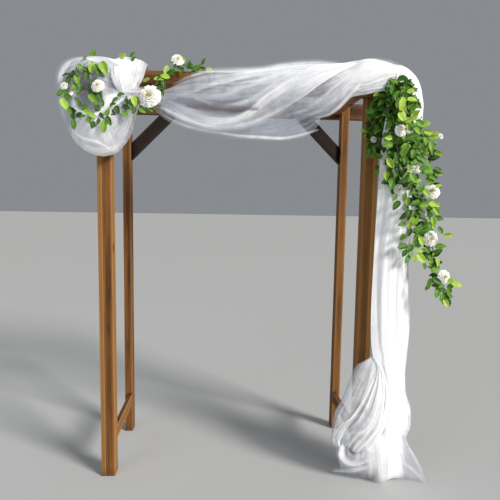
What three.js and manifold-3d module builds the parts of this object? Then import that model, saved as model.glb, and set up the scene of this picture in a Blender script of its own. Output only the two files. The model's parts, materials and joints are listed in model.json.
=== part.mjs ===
// A four-legged timber wedding arch, dressed with draped tulle and two garlands of leaves and roses.
// Millimetres, +X to the right, +Y to the back, +Z up.
// The origin is the middle of the front left post's foot.

import * as THREE from 'three';
import { mergeVertices } from 'three/addons/utils/BufferGeometryUtils.js';
import Module from 'manifold-3d';

const wasm = await Module();
wasm.setup();

// Driving dimensions of the timber frame
const HEIGHT = 2200; // the posts and both beams finish level
const CLEAR_WIDTH = 1350; // between the inner faces of the left and right posts
const DEPTH = 600; // front face of the front posts to back face of the back posts
const THIN = 25; // thickness of the facing boards and the low rails
const THICK = 50; // thickness of all other timber
const DEEP = 75; // the wide side of the posts, rails and braces
const BEAM_DEEP = 100;
const BEAM_OVERHANG = 120; // past the outer faces of the front posts
const LOW_RAIL_UNDERSIDE = 190;
const BRACE_FOOT = 1800; // lowest point of the knee braces
const FIT = 0.3; // gap that a shaped piece keeps to what it touches

// Planes that the frame's faces lie on
const LEFT = -1;
const RIGHT = 1;
const MIDDLE = (THICK + THIN) / 2 + CLEAR_WIDTH / 2;
const FRONT = -DEEP / 2;
const BACK = FRONT + DEPTH;
const BEAM_FRONT = FRONT - THICK;

// Sizes of the garlands
const STEM_RADIUS = 5;
const STEM_SIDES = 6;
const STEM_STEP = 45;
const LEAF_LONG = 52;
const LEAF_WIDE = 34;
const LEAF_THICK = 3;
const LEAF_SPACING = 33;
const GOLDEN_ANGLE = Math.PI * (3 - Math.sqrt(5));
const ROSE_TILT = 0.3; // radians that a rose looks up
const ROSE_FACING = new THREE.Vector3(0, -Math.cos(ROSE_TILT), Math.sin(ROSE_TILT));
const STALK_DEPTH = 0.4; // how far behind a rose's middle its stalk ends, in radii

// x of a plane at a distance outwards from a side's inner post face
function fromInnerFace(side, outwards) {
  return MIDDLE + side * (CLEAR_WIDTH / 2 + outwards);
}

// Booleans, on closed geometries whose shared vertices are merged
function solidOf(geometry) {
  const bare = geometry.clone();
  bare.deleteAttribute('normal');
  bare.deleteAttribute('uv');
  const merged = mergeVertices(bare, 1e-4);
  return new wasm.Manifold(new wasm.Mesh({
    numProp: 3,
    vertProperties: new Float32Array(merged.attributes.position.array),
    triVerts: new Uint32Array(merged.index.array),
  }));
}

function geometryOf(solid) {
  const mesh = solid.getMesh();
  const geometry = new THREE.BufferGeometry();
  geometry.setAttribute('position', new THREE.BufferAttribute(mesh.vertProperties, mesh.numProp));
  geometry.setIndex(new THREE.BufferAttribute(mesh.triVerts, 1));
  geometry.computeVertexNormals();
  return geometry;
}

function largestPiece(solid) {
  const pieces = solid.decompose();
  return pieces.reduce((best, piece) => (piece.volume() > best.volume() ? piece : best));
}

function cutBack(solid, cutters) {
  return largestPiece(cutters.reduce((rest, cutter) => rest.subtract(cutter), solid));
}

// Finishes
function finish(color, roughness) {
  return new THREE.MeshStandardMaterial({ color, roughness, metalness: 0 });
}
const STAINED_PINE = finish(0x6b3f22, 0.75);
const TULLE = finish(0xf3f4f7, 0.9);
const LEAF_GREEN = finish(0x4f8a2a, 0.6);
const ROSE_WHITE = finish(0xf4f1e4, 0.8);

const arch = new THREE.Group();

function add(name, geometry, material) {
  const mesh = new THREE.Mesh(geometry, material);
  mesh.name = name;
  arch.add(mesh);
  return mesh;
}

// Timber: square-sawn lengths, each remembered as a slightly fatter box that soft pieces are cut back from
const timberCutters = [];

function boxBetween(low, high, grow) {
  const size = high.clone().sub(low).addScalar(2 * grow);
  const middle = high.clone().add(low).multiplyScalar(0.5);
  return new THREE.BoxGeometry(size.x, size.y, size.z).translate(middle.x, middle.y, middle.z);
}

function addTimber(name, xs, ys, zs) {
  const low = new THREE.Vector3(Math.min(...xs), Math.min(...ys), Math.min(...zs));
  const high = new THREE.Vector3(Math.max(...xs), Math.max(...ys), Math.max(...zs));
  timberCutters.push(solidOf(boxBetween(low, high, FIT)));
  add(name, boxBetween(low, high, 0), STAINED_PINE);
}

// A 45 degree knee brace, mitred onto the post's inner face and cut level with the beam's top
function addBrace(name, side) {
  const postEnd = DEEP * Math.SQRT2;
  const run = HEIGHT - BRACE_FOOT;
  const outline = new THREE.Shape([
    new THREE.Vector2(0, BRACE_FOOT),
    new THREE.Vector2(run, HEIGHT),
    new THREE.Vector2(run - postEnd, HEIGHT),
    new THREE.Vector2(0, BRACE_FOOT + postEnd),
  ].map((p) => new THREE.Vector2(fromInnerFace(side, -p.x), p.y)));
  const brace = new THREE.ExtrudeGeometry(outline, { depth: THICK, bevelEnabled: false });
  brace.rotateX(Math.PI / 2).translate(0, BACK, 0);
  add(name, brace, STAINED_PINE);
}

for (const [word, side] of [['left', LEFT], ['right', RIGHT]]) {
  const inner = fromInnerFace(side, 0);
  const outer = fromInnerFace(side, THICK);
  addTimber(`front_post_${word}`, [inner, outer], [FRONT, FRONT + DEEP], [0, HEIGHT]);
  addTimber(`front_post_${word}_facing`, [outer, fromInnerFace(side, THICK + THIN)],
    [FRONT, FRONT + DEEP], [0, HEIGHT]);
  addTimber(`back_post_${word}`, [inner, outer], [BACK - DEEP, BACK], [0, HEIGHT]);
  addTimber(`top_side_rail_${word}`, [inner, fromInnerFace(side, -THICK)],
    [FRONT, BACK], [HEIGHT - DEEP, HEIGHT]);
  addTimber(`low_side_rail_${word}`, [inner, fromInnerFace(side, THIN)],
    [FRONT + DEEP, BACK - DEEP], [LOW_RAIL_UNDERSIDE, LOW_RAIL_UNDERSIDE + DEEP]);
  addBrace(`knee_brace_${word}`, side);
}

const beamEnds = [LEFT, RIGHT].map((side) => fromInnerFace(side, THICK + THIN + BEAM_OVERHANG));
addTimber('front_beam', beamEnds, [BEAM_FRONT, FRONT], [HEIGHT - BEAM_DEEP, HEIGHT]);
addTimber('back_beam', beamEnds, [BACK, BACK + THICK], [HEIGHT - BEAM_DEEP, HEIGHT]);

// Tulle: each mass of gathered cloth is a closed skin over oval sections.
// A standing mass has stations [z, left, right, front, back] from its top down.
// A lying one has stations [x, underside, top, front, back] from left to right.
const AROUND = 18;

function ovalSkin(stations, grow, place) {
  const skin = new THREE.CylinderGeometry(1, 1, 1, AROUND, stations.length - 1);
  const at = skin.attributes.position;
  for (let i = 0; i < at.count; i += 1) {
    const row = Math.round((0.5 - at.getY(i)) * (stations.length - 1));
    const end = row === 0 ? -grow : (row === stations.length - 1 ? grow : 0);
    const spot = place(stations[row], at.getX(i), at.getZ(i), end);
    at.setXYZ(i, spot.x, spot.y, spot.z);
  }
  return solidOf(skin);
}

function between(low, high, share, grow) {
  return (low + high) / 2 + share * ((high - low) / 2 + grow);
}

function standing(stations, grow = 0) {
  return ovalSkin(stations, grow, ([z, left, right, front, back], across, away, end) => new THREE.Vector3(
    between(left, right, across, grow),
    between(front, back, -away, grow),
    z - end,
  ));
}

function lying(stations, grow = 0) {
  const fromRight = [...stations].reverse();
  return ovalSkin(fromRight, grow, ([x, underside, top, front, back], up, away, end) => new THREE.Vector3(
    x - end,
    between(front, back, away, grow),
    between(underside, top, up, grow),
  ));
}

// The bundle that hides the front left corner, tied round the post and the beam
const POUF = [
  [2244, -60, 180, -150, -20],
  [2222, -140, 214, -188, 22],
  [2160, -194, 230, -212, 56],
  [2080, -202, 222, -222, 66],
  [2000, -186, 202, -220, 62],
  [1920, -146, 190, -206, 56],
  [1850, -108, 162, -184, 48],
  [1796, -64, 118, -156, 20],
  [1764, -8, 64, -120, -48],
];

// The swag along the front beam, slung under it on the left and thrown over it on the right
const SWAG = [
  [186, 2004, 2066, -196, -136],
  [250, 1990, 2100, -188, -104],
  [330, 1952, 2142, -182, -90],
  [430, 1914, 2184, -178, -62],
  [560, 1888, 2202, -174, -44],
  [700, 1872, 2220, -172, -40],
  [860, 1864, 2250, -172, -36],
  [980, 1870, 2262, -172, -32],
  [1080, 1896, 2268, -172, -30],
  [1180, 1968, 2272, -172, -26],
  [1290, 2062, 2286, -172, -22],
  [1385, 2088, 2286, -172, -20],
  [1462, 2110, 2276, -172, -20],
];

// The fall outside the front right post, from over the beam's end down to the train
const FALL_FOOT = 720;
const FALL = [
  [2270, 1420, 1526, -150, -28],
  [2244, 1410, 1580, -166, 4],
  [2190, 1416, 1648, -176, 28],
  [2120, 1428, 1690, -178, 42],
  [2040, 1438, 1698, -170, 46],
  [1860, 1444, 1690, -148, 48],
  [1500, 1446, 1668, -120, 50],
  [1200, 1446, 1658, -106, 50],
  [1000, 1446, 1682, -100, 52],
  [FALL_FOOT, 1446, 1686, -100, 54],
];

// The train on the ground: the foot of the fall, and the lobe pulled round the front of the post
const TRAIN_FOOT = [
  [FALL_FOOT - FIT, 1446, 1686, -100, 54],
  [560, 1444, 1684, -106, 58],
  [430, 1440, 1706, -116, 64],
  [300, 1440, 1730, -130, 76],
  [225, 1440, 1736, -140, 86],
  [175, 1430, 1722, -150, 92],
  [60, 1400, 1790, -170, 106],
  [0, 1390, 1812, -178, 112],
];
const TRAIN_LOBE = [
  [704, 1440, 1490, -104, -52],
  [640, 1376, 1520, -128, -30],
  [520, 1328, 1540, -150, -22],
  [390, 1276, 1550, -170, -16],
  [250, 1252, 1556, -184, -10],
  [190, 1262, 1560, -190, -6],
  [150, 1302, 1564, -192, -4],
  [50, 1308, 1572, -198, 10],
  [0, 1300, 1580, -204, 20],
];

// A tail of the same cloth that hangs behind the front right post
const TAIL = [
  [2196, 1376, 1440, 26, 130],
  [2110, 1382, 1440, 26, 190],
  [1960, 1384, 1438, 26, 205],
  [1790, 1394, 1432, 30, 180],
];

const pouf = cutBack(standing(POUF), timberCutters);
const swag = cutBack(lying(SWAG), [...timberCutters, standing(POUF, FIT)]);
const fall = cutBack(standing(FALL), [...timberCutters, lying(SWAG, FIT)]);
const train = cutBack(standing(TRAIN_FOOT).add(standing(TRAIN_LOBE)), timberCutters);
const tail = cutBack(standing(TAIL), timberCutters);
add('tulle_pouf', geometryOf(pouf), TULLE);
add('tulle_swag', geometryOf(swag), TULLE);
add('tulle_fall', geometryOf(fall), TULLE);
add('tulle_train', geometryOf(train), TULLE);
add('tulle_tail', geometryOf(tail), TULLE);

const tulleCutters = [
  standing(POUF, FIT), lying(SWAG, FIT), standing(FALL, FIT), standing(TAIL, FIT),
];

// Garlands: wired stems with a leaf at every step, turned by the golden angle.
// A route is a list of [x, y, z], and lies on the front of the cloth.
const LEFT_RING = [
  [-10, -205, 2203], [-63, -212, 2173], [-117, -200, 2115], [-140, -190, 2050], [-130, -190, 1990],
  [-92, -200, 1944], [-34, -210, 1920], [22, -212, 1926], [70, -212, 1958], [112, -210, 1988],
  [156, -208, 2010], [200, -203, 2032], [244, -198, 2068], [293, -190, 2108], [338, -160, 2160],
  [385, -114, 2208], [450, -96, 2212], [530, -94, 2208],
];
const LEFT_SPRAY = [
  [-40, -212, 2186], [-18, -224, 2130], [-3, -228, 2062], [16, -226, 1998], [22, -214, 1930],
];
const RIGHT_INNER = [
  [1500, -176, 2128], [1470, -150, 2080], [1446, -118, 2010], [1434, -106, 1927], [1456, -106, 1824],
  [1492, -122, 1719], [1545, -138, 1640],
];
const RIGHT_MIDDLE = [
  [1500, -176, 2128], [1550, -186, 2080], [1546, -176, 1953], [1572, -162, 1824], [1595, -150, 1694],
  [1638, -132, 1536], [1690, -112, 1402], [1722, -100, 1321],
];
const RIGHT_OUTER = [
  [1500, -176, 2128], [1560, -184, 2105], [1612, -172, 2050], [1664, -142, 1930], [1708, -116, 1801],
  [1730, -104, 1644], [1734, -98, 1511], [1748, -96, 1376], [1745, -98, 1294], [1769, -104, 1229],
  [1812, -112, 1141], [1845, -118, 1030],
];

function curveOf(route) {
  return new THREE.CatmullRomCurve3(route.map((p) => new THREE.Vector3(...p)));
}

function stemSolid(curve, grow) {
  const ring = [...Array(STEM_SIDES).keys()].map((i) => {
    const turn = (2 * Math.PI * i) / STEM_SIDES;
    const radius = STEM_RADIUS + grow;
    return new THREE.Vector2(radius * Math.cos(turn), radius * Math.sin(turn));
  });
  return solidOf(new THREE.ExtrudeGeometry(new THREE.Shape(ring), {
    steps: Math.ceil(curve.getLength() / STEM_STEP), extrudePath: curve, bevelEnabled: false,
  }));
}

// The stalk that carries a rose, from the nearest spot on a stem into the rose's back
function stalkSolid([x, y, z, radius], curves, grow) {
  const socket = new THREE.Vector3(x, y, z).addScaledVector(ROSE_FACING, -radius * STALK_DEPTH);
  const spots = curves.flatMap((curve) => curve.getSpacedPoints(60));
  const root = spots.reduce((best, spot) => (
    spot.distanceTo(socket) < best.distanceTo(socket) ? spot : best));
  return stemSolid(new THREE.LineCurve3(root, socket), grow);
}

const LEAF_OUTLINE = [[0, 0], [0.28, 0.46], [0.62, 0.42], [1, 0], [0.62, -0.42], [0.28, -0.46]];

// A flat leaf from a spot on the stem, pointing along heading, with its face to the front
function leafSolid(spot, heading, size, grow) {
  const facing = new THREE.Vector3(0, -1, 0).addScaledVector(heading, heading.y).normalize();
  const sideways = facing.clone().cross(heading);
  const outline = LEAF_OUTLINE.map(([along, across]) => new THREE.Vector2(
    size * along * (LEAF_LONG + grow),
    size * across * (LEAF_WIDE + 2 * grow),
  ));
  const leaf = new THREE.ExtrudeGeometry(new THREE.Shape(outline), {
    depth: LEAF_THICK + 2 * grow, bevelEnabled: false,
  });
  leaf.translate(0, 0, -LEAF_THICK / 2 - grow);
  leaf.applyMatrix4(new THREE.Matrix4().makeBasis(heading, sideways, facing).setPosition(spot));
  return solidOf(leaf);
}

// Where a leaf points: out from the stem, leaning along it, and never back into the cloth
function leafHeading(tangent, turn) {
  const across = new THREE.Vector3(0, -1, 0).cross(tangent).normalize();
  const outwards = across.multiplyScalar(Math.cos(turn));
  outwards.y -= 0.55 * Math.abs(Math.sin(turn));
  return outwards.addScaledVector(tangent, 0.45).normalize();
}

function leavesOn(curve, roses, grow) {
  const count = Math.floor(curve.getLength() / LEAF_SPACING);
  const leaves = [];
  for (let i = 0; i <= count; i += 1) {
    const share = i / count;
    const spot = curve.getPointAt(share);
    const heading = leafHeading(curve.getTangentAt(share), i * GOLDEN_ANGLE);
    const size = 0.85 + 0.25 * Math.sin(2.4 * i);
    const middle = spot.clone().addScaledVector(heading, LEAF_LONG / 2);
    const clear = roses.every(([x, y, z, radius]) => (
      middle.distanceTo(new THREE.Vector3(x, y, z)) > radius + LEAF_WIDE / 2));
    if (clear) leaves.push(leafSolid(spot, heading, size, grow));
  }
  return leaves;
}

function garlandSolid(routes, roses, grow) {
  const curves = routes.map(curveOf);
  const parts = [
    ...curves.map((curve) => stemSolid(curve, grow)),
    ...roses.map((rose) => stalkSolid(rose, curves, grow)),
    ...curves.flatMap((curve) => leavesOn(curve, roses, grow)),
  ];
  return parts.reduce((whole, part) => whole.add(part));
}

// Roses: [x, y, z, radius], each set on the cloth or a stem and facing the front
const LEFT_ROSES = [
  [264, -214, 2056, 56], [12, -240, 2090, 31], [-141, -206, 2082, 20], [-108, -224, 2046, 15],
  [391, -112, 2246, 32],
];
const RIGHT_ROSES = [
  [1565, -196, 1932, 32], [1596, -168, 1728, 26], [1645, -160, 1718, 26], [1570, -150, 1597, 30],
  [1730, -118, 1612, 42], [1690, -118, 1492, 20], [1742, -112, 1360, 42], [1812, -118, 1152, 38],
  [1486, -132, 1722, 25], [1412, -104, 1880, 17], [1608, -182, 2000, 22], [1752, -112, 1892, 15],
];

const ROSE_SIDES = 11;
const ROSE_PROFILE = [[0, -0.62], [0.5, -0.5], [0.9, -0.08], [1, 0.28], [0.8, 0.6], [0.4, 0.68], [0, 0.52]];

// A full-blown rose, turned about its own axis, looking forwards and a little up
function roseSolid([x, y, z, radius], grow) {
  const reach = radius + grow;
  const profile = ROSE_PROFILE.map(([out, up]) => new THREE.Vector2(out * reach, up * reach));
  const rose = new THREE.LatheGeometry(profile, ROSE_SIDES);
  rose.rotateX(Math.PI - ROSE_TILT).translate(x, y, z);
  return solidOf(rose);
}

for (const [word, routes, roses] of [
  ['left', [LEFT_RING, LEFT_SPRAY], LEFT_ROSES],
  ['right', [RIGHT_INNER, RIGHT_MIDDLE, RIGHT_OUTER], RIGHT_ROSES],
]) {
  const cutters = [...timberCutters, ...tulleCutters];
  add(`garland_${word}`, geometryOf(cutBack(garlandSolid(routes, roses, 0), cutters)), LEAF_GREEN);
  const greenery = garlandSolid(routes, roses, FIT);
  roses.forEach((rose, i) => {
    const bloom = cutBack(roseSolid(rose, 0), [...cutters, greenery]);
    add(`rose_${word}_${i + 1}`, geometryOf(bloom), ROSE_WHITE);
  });
}

export default arch;
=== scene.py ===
# %% [markdown]
# # A wooden wedding arch with tulle, leaves and roses
# The arch is a light timber frame on four posts. A long length of tulle is bunched at the left corner,
# slung along the front beam, thrown over its right end and left to fall to the ground. Two garlands of
# fabric leaves and roses are tied over it. The frame is loaded first, and everything else is built on it.

# %% The frame
import json
import math

import bpy
import numpy as np
from mathutils import Matrix, Vector


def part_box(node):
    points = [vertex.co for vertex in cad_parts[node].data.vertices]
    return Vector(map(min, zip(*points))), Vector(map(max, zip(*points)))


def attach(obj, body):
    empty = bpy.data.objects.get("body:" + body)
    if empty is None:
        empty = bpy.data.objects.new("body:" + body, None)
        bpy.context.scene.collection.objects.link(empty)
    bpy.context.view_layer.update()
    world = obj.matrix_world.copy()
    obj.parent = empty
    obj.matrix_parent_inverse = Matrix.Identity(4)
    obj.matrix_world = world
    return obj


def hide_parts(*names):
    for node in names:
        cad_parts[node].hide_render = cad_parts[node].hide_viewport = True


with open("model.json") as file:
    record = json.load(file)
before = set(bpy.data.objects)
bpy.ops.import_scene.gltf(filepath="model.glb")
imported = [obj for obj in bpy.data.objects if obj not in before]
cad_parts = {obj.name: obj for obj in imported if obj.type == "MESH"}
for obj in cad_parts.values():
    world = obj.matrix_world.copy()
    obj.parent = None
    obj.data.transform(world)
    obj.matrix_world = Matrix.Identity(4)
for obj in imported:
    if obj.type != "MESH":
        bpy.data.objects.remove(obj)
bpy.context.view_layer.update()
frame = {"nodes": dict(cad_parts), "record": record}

MM = 0.001
print("loaded", len(frame["nodes"]), "solids")

# %% [markdown]
# ## Helpers for materials and meshes
# A hex colour is what a paint or dye chart gives, and the shader wants it linear, so one function turns it.
# A node with its settings and links is one call, which keeps a material's recipe on the page.
# Meshes are made from grids of points in millimetres, the unit that the arch was measured in.

# %% Colour and nodes
def linear(hex_code):
    """An sRGB hex colour as linear red, green and blue, with full alpha."""
    parts = [int(hex_code[i:i + 2], 16) / 255 for i in (1, 3, 5)]
    return (*[p / 12.92 if p <= 0.04045 else ((p + 0.055) / 1.055) ** 2.4 for p in parts], 1.0)


def add_node(tree, kind, inputs=None, **settings):
    """A node with its settings. inputs holds a value or another node's output for each socket."""
    node = tree.nodes.new(kind)
    for name, value in settings.items():
        setattr(node, name, value)
    for key, value in (inputs or {}).items():
        if isinstance(value, bpy.types.NodeSocket):
            tree.links.new(value, node.inputs[key])
        else:
            node.inputs[key].default_value = value
    return node


def new_material(name):
    """An empty material with its node tree and its output node."""
    material = bpy.data.materials.new(name)
    material.use_nodes = True
    material.node_tree.nodes.clear()
    return material, material.node_tree, add_node(material.node_tree, "ShaderNodeOutputMaterial")


print("white is", linear("#ffffff"))

# %% Grids of points
def grid_faces(rows, columns, closed=False):
    """The quads of a grid of points kept row by row. closed joins the last column to the first."""
    spot = np.arange(rows * columns).reshape(rows, columns)
    if closed:
        spot = np.concatenate([spot, spot[:, :1]], axis=1)
    corners = [spot[:-1, :-1], spot[:-1, 1:], spot[1:, 1:], spot[1:, :-1]]
    return np.stack(corners, axis=-1).reshape(-1, 4)


def joined(grids, closed=False):
    """Several grids, each rows by columns by 3, as one list of points and one list of faces."""
    points, faces, start = [], [], 0
    for grid in grids:
        points.append(grid.reshape(-1, 3))
        faces.append(grid_faces(*grid.shape[:2], closed) + start)
        start += len(points[-1])
    return np.concatenate(points), np.concatenate(faces)


print("a grid of 3 by 3 points has", len(grid_faces(3, 3)), "faces")

# %% Pieces
def new_piece(name, points, faces, material, values=None):
    """A smooth piece from points in millimetres. values are numbers on its points for the material."""
    mesh = bpy.data.meshes.new(name)
    mesh.from_pydata((np.asarray(points) * MM).tolist(), [], [list(map(int, face)) for face in faces])
    mesh.materials.append(material)
    mesh.shade_smooth()
    for key, numbers in (values or {}).items():
        numbers = np.asarray(numbers, np.float32)
        kind, slot = ("FLOAT", "value") if numbers.ndim == 1 else ("FLOAT_VECTOR", "vector")
        mesh.attributes.new(key, kind, "POINT").data.foreach_set(slot, numbers.ravel())
    piece = bpy.data.objects.new(name, mesh)
    bpy.context.scene.collection.objects.link(piece)
    return piece


def finish_piece(piece, slot, *nodes):
    """The piece rides on the arch and hides the named solids that it stands for. slot is not used."""
    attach(piece, "root")
    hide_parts(*nodes)
    return piece


def solids_in(slot):
    """The names of the solids that have one finish."""
    return [part["node"] for part in frame["record"]["subparts"] if part["material_slot"] == slot]


def box_of(node):
    """The lowest and the highest corner of a solid, in millimetres."""
    return [np.array(corner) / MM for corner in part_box(node)]


print("solids of pine:", len(solids_in("stained_pine")), "and roses:", len(solids_in("rose_petal")))

# %% [markdown]
# ## Smooth lines and smooth chance
# Cloth, stems and petals are all drawn from a few points. A Catmull-Rom curve goes through every one of
# them, so a fold is where it was measured. Many points of the cloth were picked on the
# photograph, each with a given depth, and turned to whole millimetres through the fitted camera.
# Folds also need irregularity that doesn't repeat: random heights on a lattice, blended smoothly, give
# that, and a seed makes it the same each run.

# %% Curves and noise
LATTICE = 61  # random heights each way before they come round again


def smooth_through(points, count):
    """count points on a smooth curve through the given ones, along the first axis of an array."""
    points = np.asarray(points, float)
    ends = [[2 * points[0] - points[1]], points, [2 * points[-1] - points[-2]]]
    points = np.concatenate(ends)
    place = np.linspace(0, len(points) - 3, count)
    start = np.minimum(place.astype(int), len(points) - 4)
    t = (place - start).reshape(-1, *[1] * (points.ndim - 1))
    a, b, c, d = (points[start + k] for k in range(4))
    bend = (2 * a - 5 * b + 4 * c - d) * t ** 2
    turn = (3 * b - a - 3 * c + d) * t ** 3
    return 0.5 * (2 * b + (c - a) * t + bend + turn)


def soft_noise(across, along, seed):
    """Smooth random heights from -1 to 1, one to each whole step of the two coordinates."""
    heights = np.random.default_rng(seed).uniform(-1, 1, (LATTICE, LATTICE))
    i, j = np.floor(across).astype(int), np.floor(along).astype(int)
    s, t = across - i, along - j
    s, t = s * s * (3 - 2 * s), t * t * (3 - 2 * t)
    i, j, next_i, next_j = (step % LATTICE for step in (i, j, i + 1, j + 1))
    near = heights[i, j] * (1 - s) + heights[next_i, j] * s
    far = heights[i, next_j] * (1 - s) + heights[next_i, next_j] * s
    return near * (1 - t) + far * t


def unit(vectors):
    """The same directions with length 1."""
    return vectors / np.maximum(np.linalg.norm(vectors, axis=-1, keepdims=True), 1e-9)


print("halfway round a bend:", smooth_through([[0, 0], [10, 0], [10, 10]], 5)[2])

# %% [markdown]
# ## The camera
# The photograph was taken standing, at eye level, a little left of the middle and turned slightly right.
# The place and the angles below were fitted to the posts, beams and feet.

# %% Camera
EYE = Vector((0.62209, -2.56436, 1.53738))
LENS = 33.697
PITCH_DOWN = math.radians(5.71)
TURN_RIGHT = math.radians(3.4532)
ROLL = math.radians(0.9399)

ahead = Vector((math.sin(TURN_RIGHT) * math.cos(PITCH_DOWN), math.cos(TURN_RIGHT) * math.cos(PITCH_DOWN),
                -math.sin(PITCH_DOWN)))
level = Vector((math.cos(TURN_RIGHT), -math.sin(TURN_RIGHT), 0))
upright = level.cross(ahead)
camera_right = math.cos(ROLL) * level + math.sin(ROLL) * upright
camera_up = -math.sin(ROLL) * level + math.cos(ROLL) * upright
camera = bpy.data.objects.new("camera", bpy.data.cameras.new("camera"))
camera.data.lens = LENS
camera.matrix_world = Matrix((camera_right, camera_up, -ahead)).transposed().to_4x4()
camera.location = EYE
bpy.context.scene.collection.objects.link(camera)
bpy.context.scene.camera = camera
print("camera at", tuple(round(c, 2) for c in camera.location))

# %% [markdown]
# ## Floor and light
# White net only shows against something darker, so the floor and the air behind are a pale grey and not
# white. The low sun comes from the front right, and is drawn far wider than the real one, so that its
# shadows stay soft. A wide lamp at the left stands for the sky and fills the shade with a faint blue.

# %% Floor
FLOOR_GREY = "#c3c4c2"
ROLLER_CLOUD = "#bdbebd"
FLOOR_REACH = 60000.0
FLOOR_LINES = 5


def floor_material():
    """Matt floor paint, with the faint cloudiness of a roller, so that it isn't one flat colour."""
    material, tree, output = new_material("matt_floor_paint")
    clouds = add_node(tree, "ShaderNodeTexNoise", {"Scale": 0.35, "Detail": 3.0})
    shade = add_node(tree, "ShaderNodeMix", {
        0: clouds.outputs[0], 6: linear(FLOOR_GREY), 7: linear(ROLLER_CLOUD)}, data_type="RGBA")
    surface = add_node(tree, "ShaderNodeBsdfPrincipled", {"Base Color": shade.outputs[2], "Roughness": 0.9})
    tree.links.new(surface.outputs[0], output.inputs[0])
    return material


side = np.linspace(-FLOOR_REACH, FLOOR_REACH, FLOOR_LINES)
floor_points = [(x, y, 0.0) for x in side for y in side]
floor_faces = grid_faces(FLOOR_LINES, FLOOR_LINES)[:, ::-1]
floor = new_piece("floor", floor_points, floor_faces, floor_material())
print("floor of", 2 * FLOOR_REACH * MM, "m")

# %% Light
AIR_GREY = "#b3b7bc"
AIR_STRENGTH = 0.55
CENTRE = Vector((0.75, 0.2, 1.2))
SUN_PLACE, SUN_STRENGTH, SUN_TINT, SUN_WIDTH = (4.8, -3.2, 4.2), 3.6, "#fffcf8", math.radians(17)
SKY_PLACE, SKY_STRENGTH, SKY_TINT, SKY_WIDTH = (-3.5, -4.5, 4.0), 66.0, "#e6efff", 4.0


def add_lamp(kind, name, place, strength, colour, **settings):
    """A lamp that looks at the middle of the arch."""
    lamp = bpy.data.lights.new(name, kind)
    lamp.energy = strength
    lamp.color = linear(colour)[:3]
    for key, value in settings.items():
        setattr(lamp, key, value)
    holder = bpy.data.objects.new(name, lamp)
    holder.location = place
    holder.rotation_euler = (CENTRE - Vector(place)).to_track_quat("-Z", "Y").to_euler()
    bpy.context.scene.collection.objects.link(holder)


world = bpy.data.worlds.new("studio_air")
world.use_nodes = True
world.node_tree.nodes["Background"].inputs[0].default_value = linear(AIR_GREY)
world.node_tree.nodes["Background"].inputs[1].default_value = AIR_STRENGTH
bpy.context.scene.world = world
add_lamp("SUN", "sun_side", SUN_PLACE, SUN_STRENGTH, SUN_TINT, angle=SUN_WIDTH)
add_lamp("AREA", "sky_side", SKY_PLACE, SKY_STRENGTH, SKY_TINT, size=SKY_WIDTH)
bpy.context.scene.view_settings.view_transform = "Standard"  # keeps white net white

# %% [markdown]
# ## Stained pine
# The timber is pine, sawn square and left rough, then brushed with a thin brown oil stain. The stain
# soaks into the soft early wood and stays lighter on the hard late wood, which gives the eye long
# streaks; it goes nearly black in knots and cracks. A band saw leaves faint bars across the grain.
# Real growth rings are 3 to 5 mm apart. One pixel of the picture is 5 mm here, so they are drawn at 9 mm.
# Each length carries its own grain coordinates, in metres, so that the rings run through it as in a log.
# It also carries a tone, because no two lengths take the stain alike: above 0 it is lighter, towards
# the colour of sapwood, and below 0 it is soaked darker. The tones also carry painted light: a painted
# sunlit side on the left lengths, and painted shade on the beams and the knee braces. The arrises of a
# length are a little worn, and their paler colour is partly a painted highlight where the rounded arris
# catches light.

# %% Pine
RING_SPACING = 0.009
SAW_BAR_SPACING = 0.012
WAVE_PERIOD = 0.314  # length of one wave of the wave texture at scale 1
EARLY_WOOD, LATE_WOOD = "#4f2c0f", "#7d4b1c"
STAINED_PORES = "#35200b"
DRY_PATCH = "#955f28"
LIGHT_AND_SUNLIT_TONE, SOAKED_AND_SHADED_TONE = "#c08a49", "#120c08"
WORN_AND_LIT_ARRIS = "#ba8a55"
KNOT_BROWN = "#24150d"


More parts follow.
